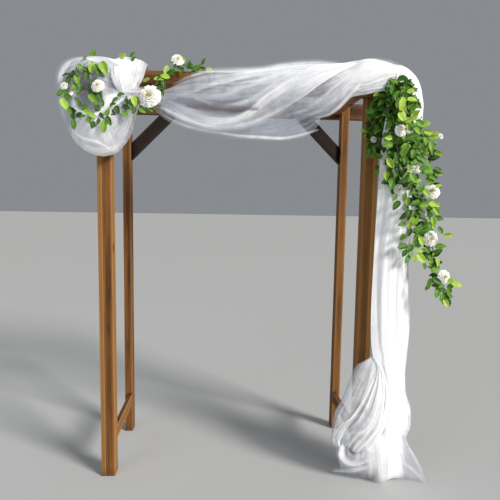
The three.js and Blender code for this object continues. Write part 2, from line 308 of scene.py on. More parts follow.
def stained_pine():
    """Rough-sawn pine under a thin brown oil stain."""
    material, tree, output = new_material("stained_pine")
    grain = add_node(tree, "ShaderNodeAttribute", attribute_name="grain").outputs["Vector"]
    tone = add_node(tree, "ShaderNodeAttribute", attribute_name="tone").outputs["Fac"]
    edge = add_node(tree, "ShaderNodeAttribute", attribute_name="edge").outputs["Fac"]
    drawn_out = add_node(tree, "ShaderNodeMapping", {"Vector": grain, "Scale": (1.0, 1.0, 0.06)}).outputs[0]
    rings = add_node(tree, "ShaderNodeTexWave", {
        "Vector": drawn_out, "Scale": WAVE_PERIOD / RING_SPACING, "Distortion": 5.0, "Detail": 3.0,
        "Detail Scale": 0.6, "Detail Roughness": 0.6}, wave_type="RINGS", rings_direction="Z")
    fibres = add_node(tree, "ShaderNodeTexNoise", {"Vector": drawn_out, "Scale": 170.0, "Detail": 4.0})
    patches = add_node(tree, "ShaderNodeTexNoise", {"Vector": drawn_out, "Scale": 26.0, "Detail": 3.0})
    knot_cells = add_node(tree, "ShaderNodeMapping", {
        "Vector": grain, "Scale": (1.0, 1.0, 0.42)}).outputs[0]
    knots = add_node(tree, "ShaderNodeTexVoronoi", {"Vector": knot_cells, "Scale": 7.5})
    knot = add_node(tree, "ShaderNodeMapRange", {
        0: knots.outputs["Distance"], 1: 0.05, 2: 0.12, 3: 1.0, 4: 0.0}, interpolation_type="SMOOTHSTEP")
    wood = add_node(tree, "ShaderNodeMix", {
        0: rings.outputs["Fac"], 6: linear(EARLY_WOOD), 7: linear(LATE_WOOD)}, data_type="RGBA")
    streaky = add_node(tree, "ShaderNodeMapRange", {0: fibres.outputs[0], 1: 0.35, 2: 0.68})
    wood = add_node(tree, "ShaderNodeMix", {
        0: streaky.outputs[0], 6: linear(STAINED_PORES), 7: wood.outputs[2]}, data_type="RGBA")
    patchy = add_node(tree, "ShaderNodeMapRange", {
        0: patches.outputs[0], 1: 0.38, 2: 0.66, 3: 0.0, 4: 0.65})
    wood = add_node(tree, "ShaderNodeMix", {
        0: patchy.outputs[0], 6: wood.outputs[2], 7: linear(DRY_PATCH)}, data_type="RGBA")
    # Real stain and painted light: tones above 0 and the painted sunlit side both lighten the wood towards
    # this colour.
    wood = add_node(tree, "ShaderNodeMix", {
        0: tone, 6: wood.outputs[2], 7: linear(LIGHT_AND_SUNLIT_TONE)}, data_type="RGBA")
    # Real stain and painted shade: tones below 0 darken the wood, soaked stain on some lengths and painted
    # shade on the beams and knee braces.
    soaked_and_shaded = add_node(tree, "ShaderNodeMath", {0: tone, 1: -1.0}, operation="MULTIPLY")
    wood = add_node(tree, "ShaderNodeMix", {
        0: soaked_and_shaded.outputs[0], 6: wood.outputs[2], 7: linear(SOAKED_AND_SHADED_TONE)}, data_type="RGBA")
    # Real wear and painted highlight: the arrises are paler, for the wear and for the light that a rounded
    # arris catches.
    worn_and_lit = add_node(tree, "ShaderNodeMath", {0: edge, 1: 0.34}, operation="MULTIPLY")
    wood = add_node(tree, "ShaderNodeMix", {
        0: worn_and_lit.outputs[0], 6: wood.outputs[2], 7: linear(WORN_AND_LIT_ARRIS)}, data_type="RGBA")
    wood = add_node(tree, "ShaderNodeMix", {
        0: knot.outputs[0], 6: wood.outputs[2], 7: linear(KNOT_BROWN)}, data_type="RGBA")
    bars = add_node(tree, "ShaderNodeTexWave", {
        "Vector": grain, "Scale": WAVE_PERIOD / SAW_BAR_SPACING, "Distortion": 1.5, "Detail": 1.0},
        bands_direction="Z")
    height = add_node(tree, "ShaderNodeMath", {
        0: fibres.outputs[0], 1: bars.outputs["Fac"], 2: 0.35}, operation="MULTIPLY_ADD")
    bump = add_node(tree, "ShaderNodeBump", {
        "Height": height.outputs[0], "Strength": 0.5, "Distance": 0.0015})
    rough = add_node(tree, "ShaderNodeMapRange", {0: fibres.outputs[0], 3: 0.62, 4: 0.85})
    surface = add_node(tree, "ShaderNodeBsdfPrincipled", {
        "Base Color": wood.outputs[2], "Roughness": rough.outputs[0], "Normal": bump.outputs[0], "IOR": 1.5,
        "Specular IOR Level": 0.3})
    tree.links.new(surface.outputs[0], output.inputs[0])
    return material


PINE = stained_pine()
print(PINE.name, "has", len(PINE.node_tree.nodes), "nodes")

# %% [markdown]
# ## Sawn lengths
# A sawn length is never quite a box: its arrises are knocked off by 2 or 3 mm, and the saw wanders by
# half a millimetre. A bevelled cube could do it, but a loft of rounded sections also takes the mitred
# ends of the knee braces, and gives each point its place in the log for the grain.

# %% Section of a length
ARRIS = 2.5
ARC_STEPS = 3
SIDE_STEPS = 4


def section_of(wide, deep):
    """The ring of points of a sawn section, from 0 to 1 across each way, and which of them are arrises."""
    corners = [(wide - ARRIS, deep - ARRIS), (ARRIS, deep - ARRIS), (ARRIS, ARRIS), (wide - ARRIS, ARRIS)]
    arcs = []
    for number, corner in enumerate(corners):
        angle = math.pi / 2 * (number + np.arange(ARC_STEPS + 1) / ARC_STEPS)
        arcs.append(corner + ARRIS * np.stack([np.cos(angle), np.sin(angle)], axis=-1))
    share = np.arange(1, SIDE_STEPS)[:, None] / SIDE_STEPS
    ring = []
    for arc, following in zip(arcs, arcs[1:] + arcs[:1]):
        ring += [arc, arc[-1] + share * (following[0] - arc[-1])]
    is_arris = ([1.0] * (ARC_STEPS + 1) + [0.0] * (SIDE_STEPS - 1)) * len(corners)
    return np.concatenate(ring) / (wide, deep), np.array(is_arris)


print("a 75 by 50 section has", len(section_of(75, 50)[0]), "points")

# %% Loft of a length
SAW_WANDER = 0.5
WANDER_LENGTH = 130.0  # the saw's wander turns back after about this far
WANDER_ROUND = 0.35  # how fast it changes from one point of a section to the next
STATION_STEP = 60.0
LOG_REACH = 0.09  # how far from the heart of its log a length may be sawn, in metres
LOG_LENGTH = 40.0
SIDE_DEPTH = 1.5  # points this near to the highest x are on that side


def sawn_length(node, first_end, last_end, tone, seed, sunlit_side=0.0):
    """A length of timber between two end faces, each given by its four corners in the same order.

    The last argument is how much lighter its side at the highest x is drawn: a painted sunlit side."""
    first_end, last_end = np.asarray(first_end, float), np.asarray(last_end, float)
    wide = np.linalg.norm(first_end[1] - first_end[0])
    deep = np.linalg.norm(first_end[3] - first_end[0])
    length = np.linalg.norm(last_end.mean(0) - first_end.mean(0))
    ring, is_arris = section_of(wide, deep)
    inner = np.linspace(0, 1, max(3, int(length / STATION_STEP)))[1:-1]
    shares = np.concatenate([[0, ARRIS / length], inner, [1 - ARRIS / length, 1]])
    end_scale = 1 - 2 * ARRIS / min(wide, deep)
    scales = [end_scale] + [1.0] * (len(shares) - 2) + [end_scale]
    rows = []
    for share, scale in zip(shares, scales):
        corners = first_end + share * (last_end - first_end)
        a, b = ((ring - 0.5) * scale + 0.5).T[:, :, None]
        rows.append(corners[0] * (1 - a) * (1 - b) + corners[1] * a * (1 - b)
                    + corners[2] * a * b + corners[3] * (1 - a) * b)
    rows = np.array(rows)
    outward = unit(rows - rows.mean(axis=1, keepdims=True))
    around = np.arange(len(ring))[None] * WANDER_ROUND + 0 * shares[:, None]
    along = shares[:, None] * length / WANDER_LENGTH + 0 * around
    rows = rows + SAW_WANDER * outward * (soft_noise(around, along, seed) - 1)[..., None]
    lowest, highest = (-LOG_REACH, -LOG_REACH, 0), (LOG_REACH, LOG_REACH, LOG_LENGTH)
    offset = np.random.default_rng(seed).uniform(lowest, highest)
    place = np.empty(rows.shape)
    place[..., :2] = ring[None] * (wide * MM, deep * MM) + offset[:2]
    place[..., 2] = shares[:, None] * length * MM + offset[2]
    faces = list(grid_faces(len(shares), len(ring), closed=True))
    faces.append(range(len(ring))[::-1])
    faces.append(range((len(shares) - 1) * len(ring), len(shares) * len(ring)))
    # The side at the highest x is drawn lighter, a painted sunlit side.
    on_side = rows[..., 0].ravel() > rows[..., 0].max() - SIDE_DEPTH
    piece = new_piece(node + "_sawn", rows.reshape(-1, 3), faces, PINE, {
        "grain": place.reshape(-1, 3), "tone": tone + sunlit_side * on_side,
        "edge": np.tile(is_arris, len(shares)) * min(1.0, 1.0 + tone)})
    return finish_piece(piece, "stained_pine", node)


print("a post is lofted from", int(2200 / STATION_STEP) + 2, "sections")

# %% [markdown]
# ## Tones of the timber
# The tones below were matched to the photograph length by length. The boards on the outer sides of the
# front posts are paler than the posts. On the left the inner sides look towards the sun, and their
# lighter colour is a painted sunlit side. The knee braces and both beams stand in shade behind the cloth,
# and their dark tones are painted shade.

# %% The straight lengths
TONES = {
    "front_post_left": -0.1, "front_post_left_facing": 0.4,
    "front_post_right": 0.28, "front_post_right_facing": 1.0,
    "back_post_left": -0.15, "back_post_right": 0.12,
    "low_side_rail_left": -0.05, "low_side_rail_right": 0.05,
    # Both beams are darker as painted shade.
    "front_beam": -0.25, "back_beam": -0.5,
}
OTHER_TONE = 0.1
# Painted shade: the knee braces are drawn near black because they stand in shade.
BRACE_SHADE_TONE = -0.95
# Painted sunlit side: how much lighter the side of a left length that faces the sun is drawn.
PAINTED_SUNLIT_SIDE = {
    "front_post_left": 0.6, "back_post_left": 0.2, "low_side_rail_left": 0.35, "top_side_rail_left": 0.2,
}


def box_ends(node):
    """The two end faces of a straight length, seen along its longest side."""
    low, high = box_of(node)
    along = int(np.argmax(high - low))
    sides = [axis for axis in range(3) if axis != along]
    ends = []
    for far in (low, high):
        corners = []
        for first, second in ((low, low), (high, low), (high, high), (low, high)):
            corner = far.copy()
            corner[sides[0]] = first[sides[0]]
            corner[sides[1]] = second[sides[1]]
            corners.append(corner)
        ends.append(corners)
    return ends if along != 1 else [[end[i] for i in (0, 3, 2, 1)] for end in ends]


straight = [node for node in solids_in("stained_pine") if not node.startswith("knee_brace")]
for number, node in enumerate(straight):
    sawn_length(node, *box_ends(node), TONES.get(node, OTHER_TONE), 10 + number, PAINTED_SUNLIT_SIDE.get(node, 0.0))
print(len(straight), "straight lengths")

# %% The knee braces
BRACE_CUT = 75 * math.sqrt(2)


def brace_ends(node, inwards):
    """The upright cut against the post and the level cut at the beam's top."""
    low, high = box_of(node)
    post = low[0] if inwards > 0 else high[0]
    tip = post + inwards * (high[0] - low[0])
    foot = [(post, low[1], low[2]), (post, low[1], low[2] + BRACE_CUT),
            (post, high[1], low[2] + BRACE_CUT), (post, high[1], low[2])]
    head = [(tip, low[1], high[2]), (tip - inwards * BRACE_CUT, low[1], high[2]),
            (tip - inwards * BRACE_CUT, high[1], high[2]), (tip, high[1], high[2])]
    return [foot, head] if inwards < 0 else [[end[i] for i in (0, 3, 2, 1)] for end in (foot, head)]


for word, inwards, seed in (("left", 1, 41), ("right", -1, 42)):
    sawn_length("knee_brace_" + word, *brace_ends("knee_brace_" + word, inwards), BRACE_SHADE_TONE, seed)
print("2 knee braces")

# %% [markdown]
# ## Screws
# The joints are held by countersunk wood screws, and what shows is their heads, 8 mm wide. The photograph
# is too coarse to show them, so they are set where such joints need them. They are steel
# under a thin coat of zinc: a light grey metal, a little blue, clouded by handling. A head is a disc of
# rings, and the cross recess for the driver is made by lowering some points of the inner rings.

# %% Zinc plate
CLOUDED_ZINC, CLEAN_ZINC = "#83888d", "#b4b8ba"


def zinc_plate():
    """Zinc-plated steel, dulled in clouds."""
    material, tree, output = new_material("zinc_plate")
    place = add_node(tree, "ShaderNodeTexCoord").outputs["Object"]
    clouds = add_node(tree, "ShaderNodeTexNoise", {"Vector": place, "Scale": 300.0, "Detail": 2.0})
    shade = add_node(tree, "ShaderNodeMix", {
        0: clouds.outputs[0], 6: linear(CLOUDED_ZINC), 7: linear(CLEAN_ZINC)}, data_type="RGBA")
    rough = add_node(tree, "ShaderNodeMapRange", {0: clouds.outputs[0], 3: 0.55, 4: 0.35})
    surface = add_node(tree, "ShaderNodeBsdfPrincipled", {
        "Base Color": shade.outputs[2], "Metallic": 1.0, "Roughness": rough.outputs[0]})
    tree.links.new(surface.outputs[0], output.inputs[0])
    return material


ZINC = zinc_plate()
print(ZINC.name, "has", len(ZINC.node_tree.nodes), "nodes")

# %% Screw heads
MIDDLE_X = 712.5  # the frame is the same on both sides of this plane
HEAD_RINGS = [  # radius and height of each ring, from the edge to the middle
    (4.0, -2.0), (4.0, 0.0), (3.7, 0.4), (2.5, 0.5), (2.3, 0.5), (0.8, 0.5), (0.1, 0.5),
]
HEAD_SIDES = 24
RECESS = 1.2
RECESS_REACH = 2.4
SCREWS_LEFT = [  # x, y, z and the way that the head looks, in x and y
    (2, -87.5, 2130, 0, -1), (24, -87.5, 2170, 0, -1), (2, 612.5, 2130, 0, 1), (24, 612.5, 2170, 0, 1),
    (-37.5, 12, 120, -1, 0), (-37.5, -12, 560, -1, 0), (-37.5, 12, 1000, -1, 0), (-37.5, -12, 1440, -1, 0),
    (-37.5, 12, 1880, -1, 0), (87.5, -10, 2145, 1, 0), (87.5, 12, 2180, 1, 0), (87.5, 514, 2145, 1, 0),
    (87.5, 536, 2180, 1, 0), (12.5, 52, 210, -1, 0), (12.5, 52, 245, -1, 0), (12.5, 473, 210, -1, 0),
    (12.5, 473, 245, -1, 0), (306, 512.5, 2130, 0, -1), (358, 512.5, 2165, 0, -1),
]


def screw_head(x, y, z, look_x, look_y):
    """The rings of points of one head."""
    turn = np.linspace(0, 2 * math.pi, HEAD_SIDES, endpoint=False)
    radius, height = np.array(HEAD_RINGS).T[:, :, None]
    in_cross = (radius < RECESS_REACH) & ((np.abs(np.cos(2 * turn)) > 0.95) | (radius < 1))
    sideways, outwards = np.array([-look_y, look_x, 0.0]), np.array([look_x, look_y, 0.0])
    turn = (turn + 0.1 * z)[:, None]
    rim = radius[..., None] * (np.cos(turn) * sideways + np.sin(turn) * (0, 0, 1))
    return np.array([x, y, z]) + rim + (height - RECESS * in_cross)[..., None] * outwards


heads = [screw_head(*screw) for screw in SCREWS_LEFT]
heads += [screw_head(2 * MIDDLE_X - x, y, z, -look_x, look_y) for x, y, z, look_x, look_y in SCREWS_LEFT]
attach(new_piece("screw_heads", *joined(heads, closed=True), ZINC), "root")
print(len(heads), "screw heads")

# %% [markdown]
# ## Tulle
# Tulle is a soft knitted net of fine white nylon, with holes of about 1 mm. One layer hides less than a
# third of what is behind it and has almost no shade of its own; gathered cloth is many layers, so it
# turns to a bright white with grey furrows. The holes are far too fine to draw in the picture. So each
# sheet carries a number on its points, how many layers of net lie there, and the material turns it into
# cover: each layer hides the same share of what is left. Few layers are also painted greyer and a little
# blue, a painted shade for thin net in shade under the sky, and the layers that lie behind a sheet are
# counted into its colour as well, a painted brightening for the light that they throw back.
# The threads bunch as the net is gathered, which shows as fine streaks along the folds. Real bunches are
# 2 to 4 mm wide, and they are drawn at 9 mm. Soft crumples of about 55 mm vary the layers once more.

# %% Tulle material
ONE_LAYER_HIDES = 0.3
BUNCH_WIDTH = 0.009
BUNCH_LENGTH = 0.25
CRUMPLE_WIDTH = 0.055
SHADED_THIN_NET, DEEP_NET = "#b7bdcb", "#fcfcfd"
WHITEST = 6.5  # layers from which the net gets no whiter


def gathered_tulle():
    """White nylon net, seen through according to how many layers lie on each other."""
    material, tree, output = new_material("gathered_tulle")
    layers = add_node(tree, "ShaderNodeAttribute", attribute_name="layers").outputs["Fac"]
    flat_place = add_node(tree, "ShaderNodeAttribute", attribute_name="flat_place").outputs["Vector"]
    behind = add_node(tree, "ShaderNodeSeparateXYZ", {0: flat_place}).outputs[2]
    drawn_out = add_node(tree, "ShaderNodeMapping", {
        "Vector": flat_place, "Scale": (1 / BUNCH_LENGTH, 1 / BUNCH_WIDTH, 0.0)}).outputs[0]
    bunches = add_node(tree, "ShaderNodeTexNoise", {
        "Vector": drawn_out, "Scale": 1.0, "Detail": 3.0, "Roughness": 0.55})
    bunched = add_node(tree, "ShaderNodeMapRange", {
        0: bunches.outputs[0], 1: 0.25, 2: 0.75, 3: 0.6, 4: 1.4})
    place = add_node(tree, "ShaderNodeTexCoord").outputs["Object"]
    crumples = add_node(tree, "ShaderNodeTexNoise", {
        "Vector": place, "Scale": 1 / CRUMPLE_WIDTH, "Detail": 2.0, "Roughness": 0.5, "Distortion": 0.6})
    crumpled = add_node(tree, "ShaderNodeMapRange", {
        0: crumples.outputs[0], 1: 0.3, 2: 0.7, 3: 0.78, 4: 1.25})
    stacked = add_node(tree, "ShaderNodeMath", {0: layers, 1: bunched.outputs[0]}, operation="MULTIPLY")
    stacked = add_node(tree, "ShaderNodeMath", {
        0: stacked.outputs[0], 1: crumpled.outputs[0]}, operation="MULTIPLY")
    seen_through = add_node(tree, "ShaderNodeMath", {
        0: 1 - ONE_LAYER_HIDES, 1: stacked.outputs[0]}, operation="POWER")
    cover = add_node(tree, "ShaderNodeMath", {0: 1.0, 1: seen_through.outputs[0]}, operation="SUBTRACT")
    # Painted shade and light: thin net is painted a shaded blue grey and thick net white, and the layers
    # behind a sheet add to its whiteness as a painted brightening.
    in_all = add_node(tree, "ShaderNodeMath", {0: stacked.outputs[0], 1: behind}, operation="ADD")
    depth = add_node(tree, "ShaderNodeMapRange", {0: in_all.outputs[0], 1: 1.0, 2: WHITEST})
    white = add_node(tree, "ShaderNodeMix", {
        0: depth.outputs[0], 6: linear(SHADED_THIN_NET), 7: linear(DEEP_NET)}, data_type="RGBA")
    bump = add_node(tree, "ShaderNodeBump", {
        "Height": bunches.outputs[0], "Strength": 0.35, "Distance": 0.002})
    surface = add_node(tree, "ShaderNodeBsdfPrincipled", {
        "Base Color": white.outputs[2], "Roughness": 0.8, "Alpha": cover.outputs[0],
        "Normal": bump.outputs[0], "IOR": 1.53, "Sheen Weight": 0.15, "Sheen Roughness": 0.4})
    tree.links.new(surface.outputs[0], output.inputs[0])
    return material


TULLE = gathered_tulle()
print("two layers hide", round(1 - (1 - ONE_LAYER_HIDES) ** 2, 2))

# %% [markdown]
# ## Gathered sheets
# A cloth simulation of 10 m of net is slow and never lands on the folds of one photograph. So each sheet
# is spanned between guide folds, lines that run the way the real folds run, from
# one gather to the next. A smooth surface goes through them, and pleats are raised on it along its
# normal. Where the guide folds close up at a gather, the pleats get lower and narrower by
# themselves, and the layers of net are pushed together, so the cloth also turns whiter there.

# %% Surfaces between guide folds
COLUMN_STEP = 9.0
ROW_STEP = 3.2


def pleat_heights(across, along, seed):
    """Broad soft folds, narrow ridges and fine creases, from about -1 to 1."""
    drift = 0.9 * soft_noise(across * 0.5, along * 1.1, seed)
    broad = soft_noise(across + drift, along * 0.9, seed + 1)
    narrow = 1 - 2 * np.abs(soft_noise(across * 2.1 + drift, along * 1.3, seed + 2))
    creases = soft_noise(across * 5.3 + drift, along * 2.4, seed + 3)
    return 0.6 * broad + 0.32 * narrow + 0.16 * creases


def span(guides):
    """The smooth surface through guide folds: rows go across the folds, columns along them."""
    guides = np.asarray(guides, float)
    longest = np.linalg.norm(np.diff(guides, axis=1), axis=-1).sum(axis=1).max()
    widest = np.linalg.norm(np.diff(guides, axis=0), axis=-1).sum(axis=0).max()
    columns = max(8, int(longest / COLUMN_STEP))
    rows = max(8, int(widest / ROW_STEP))
    along = smooth_through(guides.swapaxes(0, 1), columns).swapaxes(0, 1)
    return smooth_through(along, rows)


def moved(line, x=0, y=0, z=0):
    """The same guide fold, shifted."""
    return [(a + x, b + y, c + z) for a, b, c in line]


print("pleats at three places:", pleat_heights(np.array([0.2, 1.1, 2.6]), np.zeros(3), 1).round(2))

# %% Pleats and layers of net
PLEAT_LENGTH = 260.0  # a pleat changes its shape after about this far
THINNEST, THICKEST = 0.02, 14  # layers of net
TIGHTEST = 0.05  # the narrowest that a gather counts as, next to the sheet's full width
SEED_STEP = 0.37  # moves the bunches of each sheet, so that no two have the same


def as_made(surface):
    """The surface without a change."""
    return surface


def spread(layers, guides, rows, columns):
    """Layers at each point, from one number, one for each guide fold, or a few along each guide fold."""
    layers = np.asarray(layers, float)
    if layers.ndim < 2:
        layers = np.tile(layers.reshape(-1, 1), (1, 2))
    if len(layers) == 1:
        layers = np.repeat(layers, guides, axis=0)
    return smooth_through(smooth_through(layers.T, columns).T, rows)


def gathered(guides, layers, folds, depth, seed, contrast=0.5, behind=0.0, bunch=1.0, shaped=as_made):
    """A pleated surface, its layers of net, its place on the flat cloth and the layers behind it (painted
    light).
    """
    surface = shaped(span(guides))
    rows, columns = surface.shape[:2]
    v, u = np.meshgrid(np.linspace(0, 1, rows), np.linspace(0, 1, columns), indexing="ij")
    normal = unit(np.cross(np.gradient(surface, axis=1), np.gradient(surface, axis=0)))
    width = np.linalg.norm(np.diff(surface, axis=0), axis=-1).sum(axis=0)
    openness = np.maximum(width / width.max(), TIGHTEST)[None]
    length = np.linalg.norm(np.diff(surface, axis=1), axis=-1).sum(axis=1).mean()
    heights = pleat_heights(v * folds, u * length / PLEAT_LENGTH, seed)
    surface = surface + (depth * openness ** 0.8 * heights)[..., None] * normal
    stacked = spread(layers, len(guides), rows, columns) * openness ** -0.3
    # Pleat crests get more layers and valleys fewer, so the valleys also take the painted shade of thin
    # net.
    stacked = np.clip(stacked * np.exp(contrast * heights), THINNEST, THICKEST)
    painted_brightening = spread(behind, len(guides), rows, columns)
    place = [u * length * MM + seed, v * width.max() * MM / bunch + SEED_STEP * seed, painted_brightening]
    return surface, stacked, np.stack(place, axis=-1)


print("one layer on a sheet of two guide folds:", spread(1.0, 2, 2, 2).ravel())

# %% [markdown]
# ## Ridges and furrows
# What the eye reads first on the real cloth are its bright ridges, where many layers are folded over each
# other. A ridge is a narrow arched band along its crest, with many layers in the middle and
# hardly one at its edges, so that it melts into the sheet under it. Its crest has a width at each point,
# and a ramp makes it stronger or fainter from its start to its end. Between ridges the net is drawn
# apart and shows what is behind it: a furrow takes layers away and presses the cloth in a little.

# %% Ridges
RIDGE_ARCH = 0.22  # how far a ridge's edges lie behind its crest, in half widths
RIDGE_SPREAD = 1.9  # how much wider than its bright crest a ridge is
# The layers that a ridge lies on only brighten its colour, as painted light.
RIDGE_BACKING = 4.0  # layers of the sheet that a ridge lies on
RIDGE_SHARES = (-1, -0.6, -0.25, 0.25, 0.6, 1)  # where its guide folds run, from edge to edge
RIDGE_PROFILE = (0.02, 0.28, 0.9, 0.9, 0.28, 0.02)  # share of its layers on each of them
RIDGE_FOLDS = 5
RIDGE_PLEAT = 0.12  # depth of its pleats, in half widths
RIDGE_CONTRAST = 0.8
END_FADE = 0.06  # a small angle, so that a ridge's ends keep a trace of net


def ridge(crest, layers, seed, ramp=(1, 1)):
    """A bright fold along a crest of points x, y, z and half width. ramp is its strength along it."""
    crest = np.asarray(crest, float)
    line, half = crest[:, :3], crest[:, 3] * RIDGE_SPREAD
    sideways = unit(np.cross(np.gradient(line, axis=0), (0, -1, 0)))
    guides = []
    for share in RIDGE_SHARES:
        back = RIDGE_ARCH * half * share ** 2
        guides.append(line + share * half[:, None] * sideways + np.outer(back, (0, 1, 0)))
    surface, stacked, place = gathered(guides, RIDGE_PROFILE, RIDGE_FOLDS, half.mean() * RIDGE_PLEAT,
                                       seed, RIDGE_CONTRAST, behind=RIDGE_BACKING)
    ends = np.sin(np.linspace(END_FADE, math.pi - END_FADE, surface.shape[1])) ** 0.7
    ends = ends * np.interp(np.linspace(0, 1, surface.shape[1]), np.linspace(0, 1, len(ramp)), ramp)
    return surface, layers * stacked * ends, place


def ridges(crests, seed, strength=1.0, ramp=(1, 1), own_ramps=None):
    """The ridges of crests that are listed under their layers. own_ramps holds the ramps that differ."""
    own_ramps = own_ramps or {}
    return [ridge(crest, strength * layers, seed + number, own_ramps.get(layers, ramp))
            for number, (layers, crest) in enumerate(crests.items())]


print("a crest of half width 10 makes a ridge", 2 * 10 * RIDGE_SPREAD, "mm wide")

# %% Furrows and pieces of cloth
FURROW_DEPTH = 0.75  # share of the layers that is drawn away from its middle
FURROW_PRESS = 12  # how far the cloth is pressed in there
FURROW_STEPS = 40


def furrowed(part, line, depth=FURROW_DEPTH):
    """A part with a furrow, where the layers are drawn apart, along points of x, z and half width."""
    surface, layers, place = part
    line = smooth_through(line, FURROW_STEPS)
    away = np.linalg.norm(surface[:, :, None, ::2] - line[:, :2], axis=-1) / line[:, 2]
    near = np.exp(-away.min(axis=-1) ** 2)
    surface[..., 1] += FURROW_PRESS * near
    return surface, layers * (1 - depth * near), place


def tulle_sheet(name, parts, flat):
    """Sheets and ridges of one cloth as one piece."""
    surfaces, stacked, places = zip(*parts)
    area = 0.0
    for surface in surfaces:
        sides = np.diff(surface, axis=1)[:-1], np.diff(surface, axis=0)[:, :-1]
        area += np.linalg.norm(np.cross(*sides), axis=-1).sum() * MM * MM
    piece = new_piece(name, *joined(surfaces), TULLE, {
        "layers": np.concatenate([layers.ravel() for layers in stacked]),
        "flat_place": np.concatenate([place.reshape(-1, 3) for place in places])})
    print(name, "is", round(area, 3), "m2 of net, cut", flat[0], "by", flat[1], "m, share",
          round(area / flat[0] / flat[1], 2), "in", len(piece.data.polygons), "faces")
    return piece


print("a furrow leaves", 1 - FURROW_DEPTH, "of the layers in its middle")

# %% [markdown]
# ## The swag
# The main bundle fans out from the tie at the left, hangs in front of the beam and goes over its top
# at the right. Under it, a second turn of the cloth makes the grey lower wrap and, lower still,
# one or two loose layers that end in a hem. At the right end both are pulled into a roll.
# One thick wavy band would be quicker, but light comes through the lower layers and not through the
# bundle, so each turn of the cloth is a piece with its own guide folds, crests and layers.

# %% Guide folds of the main bundle
SWAG_MAIN = [
    [(292, -150, 1990), (345, -160, 1970), (410, -166, 1946), (518, -178, 1916), (640, -184, 1906),
     (769, -184, 1930), (903, -180, 1994), (1030, -172, 2076), (1104, -164, 2134), (1190, -154, 2190),
     (1255, -142, 2226), (1296, -128, 2254)],
    [(290, -160, 2010), (345, -176, 1996), (412, -186, 1976), (526, -188, 1950), (650, -188, 1940),
     (784, -186, 1968), (912, -182, 2030), (1036, -172, 2104), (1110, -162, 2156), (1198, -150, 2204),
     (1262, -138, 2236), (1300, -124, 2260)],
    [(288, -162, 2030), (346, -168, 2024), (416, -160, 2014), (536, -134, 1996), (662, -122, 1990),
     (798, -136, 2014), (922, -158, 2070), (1042, -158, 2134), (1116, -152, 2178), (1206, -142, 2216),
     (1267, -130, 2245), (1304, -118, 2266)],
    [(287, -162, 2050), (346, -164, 2056), (420, -160, 2062), (542, -156, 2064), (670, -154, 2068),
     (808, -154, 2096), (930, -150, 2132), (1048, -144, 2172), (1124, -138, 2200), (1212, -130, 2230),
     (1272, -120, 2254), (1308, -110, 2272)],
    [(286, -150, 2066), (346, -144, 2088), (424, -136, 2108), (548, -126, 2124), (680, -122, 2134),
     (816, -120, 2156), (938, -116, 2186), (1054, -112, 2214), (1134, -108, 2232), (1219, -104, 2250),
     (1278, -98, 2266), (1312, -92, 2279)],
    [(284, -138, 2074), (352, -130, 2104), (436, -118, 2144), (556, -106, 2176), (690, -102, 2196),
     (826, -98, 2216), (946, -96, 2236), (1062, -92, 2252), (1144, -88, 2258), (1226, -84, 2265),
     (1283, -78, 2276), (1316, -72, 2284)],
    [(280, -124, 2072), (354, -112, 2106), (444, -100, 2150), (560, -70, 2190), (700, -50, 2206),
     (830, -44, 2222), (950, -40, 2234), (1065, -38, 2243), (1150, -36, 2248), (1230, -36, 2254),
     (1287, -38, 2264), (1319, -40, 2272)],
]
print(len(SWAG_MAIN), "guide folds")

# %% Main bundle of the swag
CRESTS_MAIN = {  # points of each crest, listed under the layers of its ridge
    9: [(310, -172, 2003, 8), (370, -184, 1976, 11), (444, -196, 1942, 13), (518, -202, 1918, 13),
        (597, -204, 1909, 14), (695, -204, 1916, 15), (769, -202, 1932, 15), (838, -200, 1964, 17),
        (903, -196, 1998, 19), (968, -190, 2037, 20), (1038, -182, 2084, 21), (1104, -172, 2137, 21),
        (1181, -160, 2187, 19), (1260, -146, 2227, 15), (1316, -128, 2261, 11)],
    7: [(325, -176, 2017, 10), (385, -190, 1992, 14), (459, -202, 1953, 20), (533, -206, 1930, 23),
        (606, -206, 1926, 24), (680, -204, 1935, 24), (754, -202, 1961, 24), (828, -196, 2000, 27),
        (903, -188, 2050, 29), (978, -178, 2108, 31), (1054, -165, 2167, 32), (1132, -150, 2212, 27),
        (1212, -132, 2239, 20)],
    8: [(350, -184, 2030, 8), (419, -194, 2001, 11), (483, -198, 1974, 12), (557, -200, 1950, 13),
        (631, -200, 1945, 13), (704, -200, 1959, 13), (763, -198, 1992, 17), (827, -194, 2047, 22),
        (902, -184, 2099, 27), (978, -172, 2153, 27), (1055, -156, 2198, 24), (1134, -140, 2230, 18)],
    6: [(457, -180, 2053, 7), (507, -184, 2040, 8), (566, -186, 2020, 9), (615, -186, 2013, 9),
        (679, -184, 2020, 12), (744, -182, 2040, 17), (803, -180, 2068, 22), (863, -176, 2105, 26),
        (933, -168, 2150, 27), (1004, -156, 2192, 26), (1082, -140, 2228, 20)],
    5: [(398, -176, 2048, 7), (482, -178, 2052, 11), (556, -178, 2057, 14), (629, -176, 2071, 17),
        (704, -172, 2096, 19), (778, -166, 2122, 21), (854, -158, 2150, 24), (930, -148, 2179, 24),
        (1007, -138, 2207, 24), (1111, -126, 2233, 20)],
    5.5: [(388, -172, 2058, 7), (456, -168, 2078, 9), (520, -162, 2105, 12), (584, -156, 2130, 14),
          (654, -150, 2151, 16), (729, -142, 2173, 18), (815, -134, 2194, 20), (907, -124, 2217, 20),
          (1010, -112, 2238, 20), (1115, -102, 2251, 17), (1221, -96, 2252, 13)],
    8.5: [(366, -150, 2108, 7), (415, -140, 2139, 9), (463, -128, 2165, 11), (523, -118, 2187, 13),
          (603, -112, 2198, 13), (704, -108, 2205, 13), (807, -104, 2215, 13), (909, -100, 2236, 13),
          (1012, -98, 2250, 13), (1116, -96, 2259, 13), (1221, -94, 2255, 11)],
}
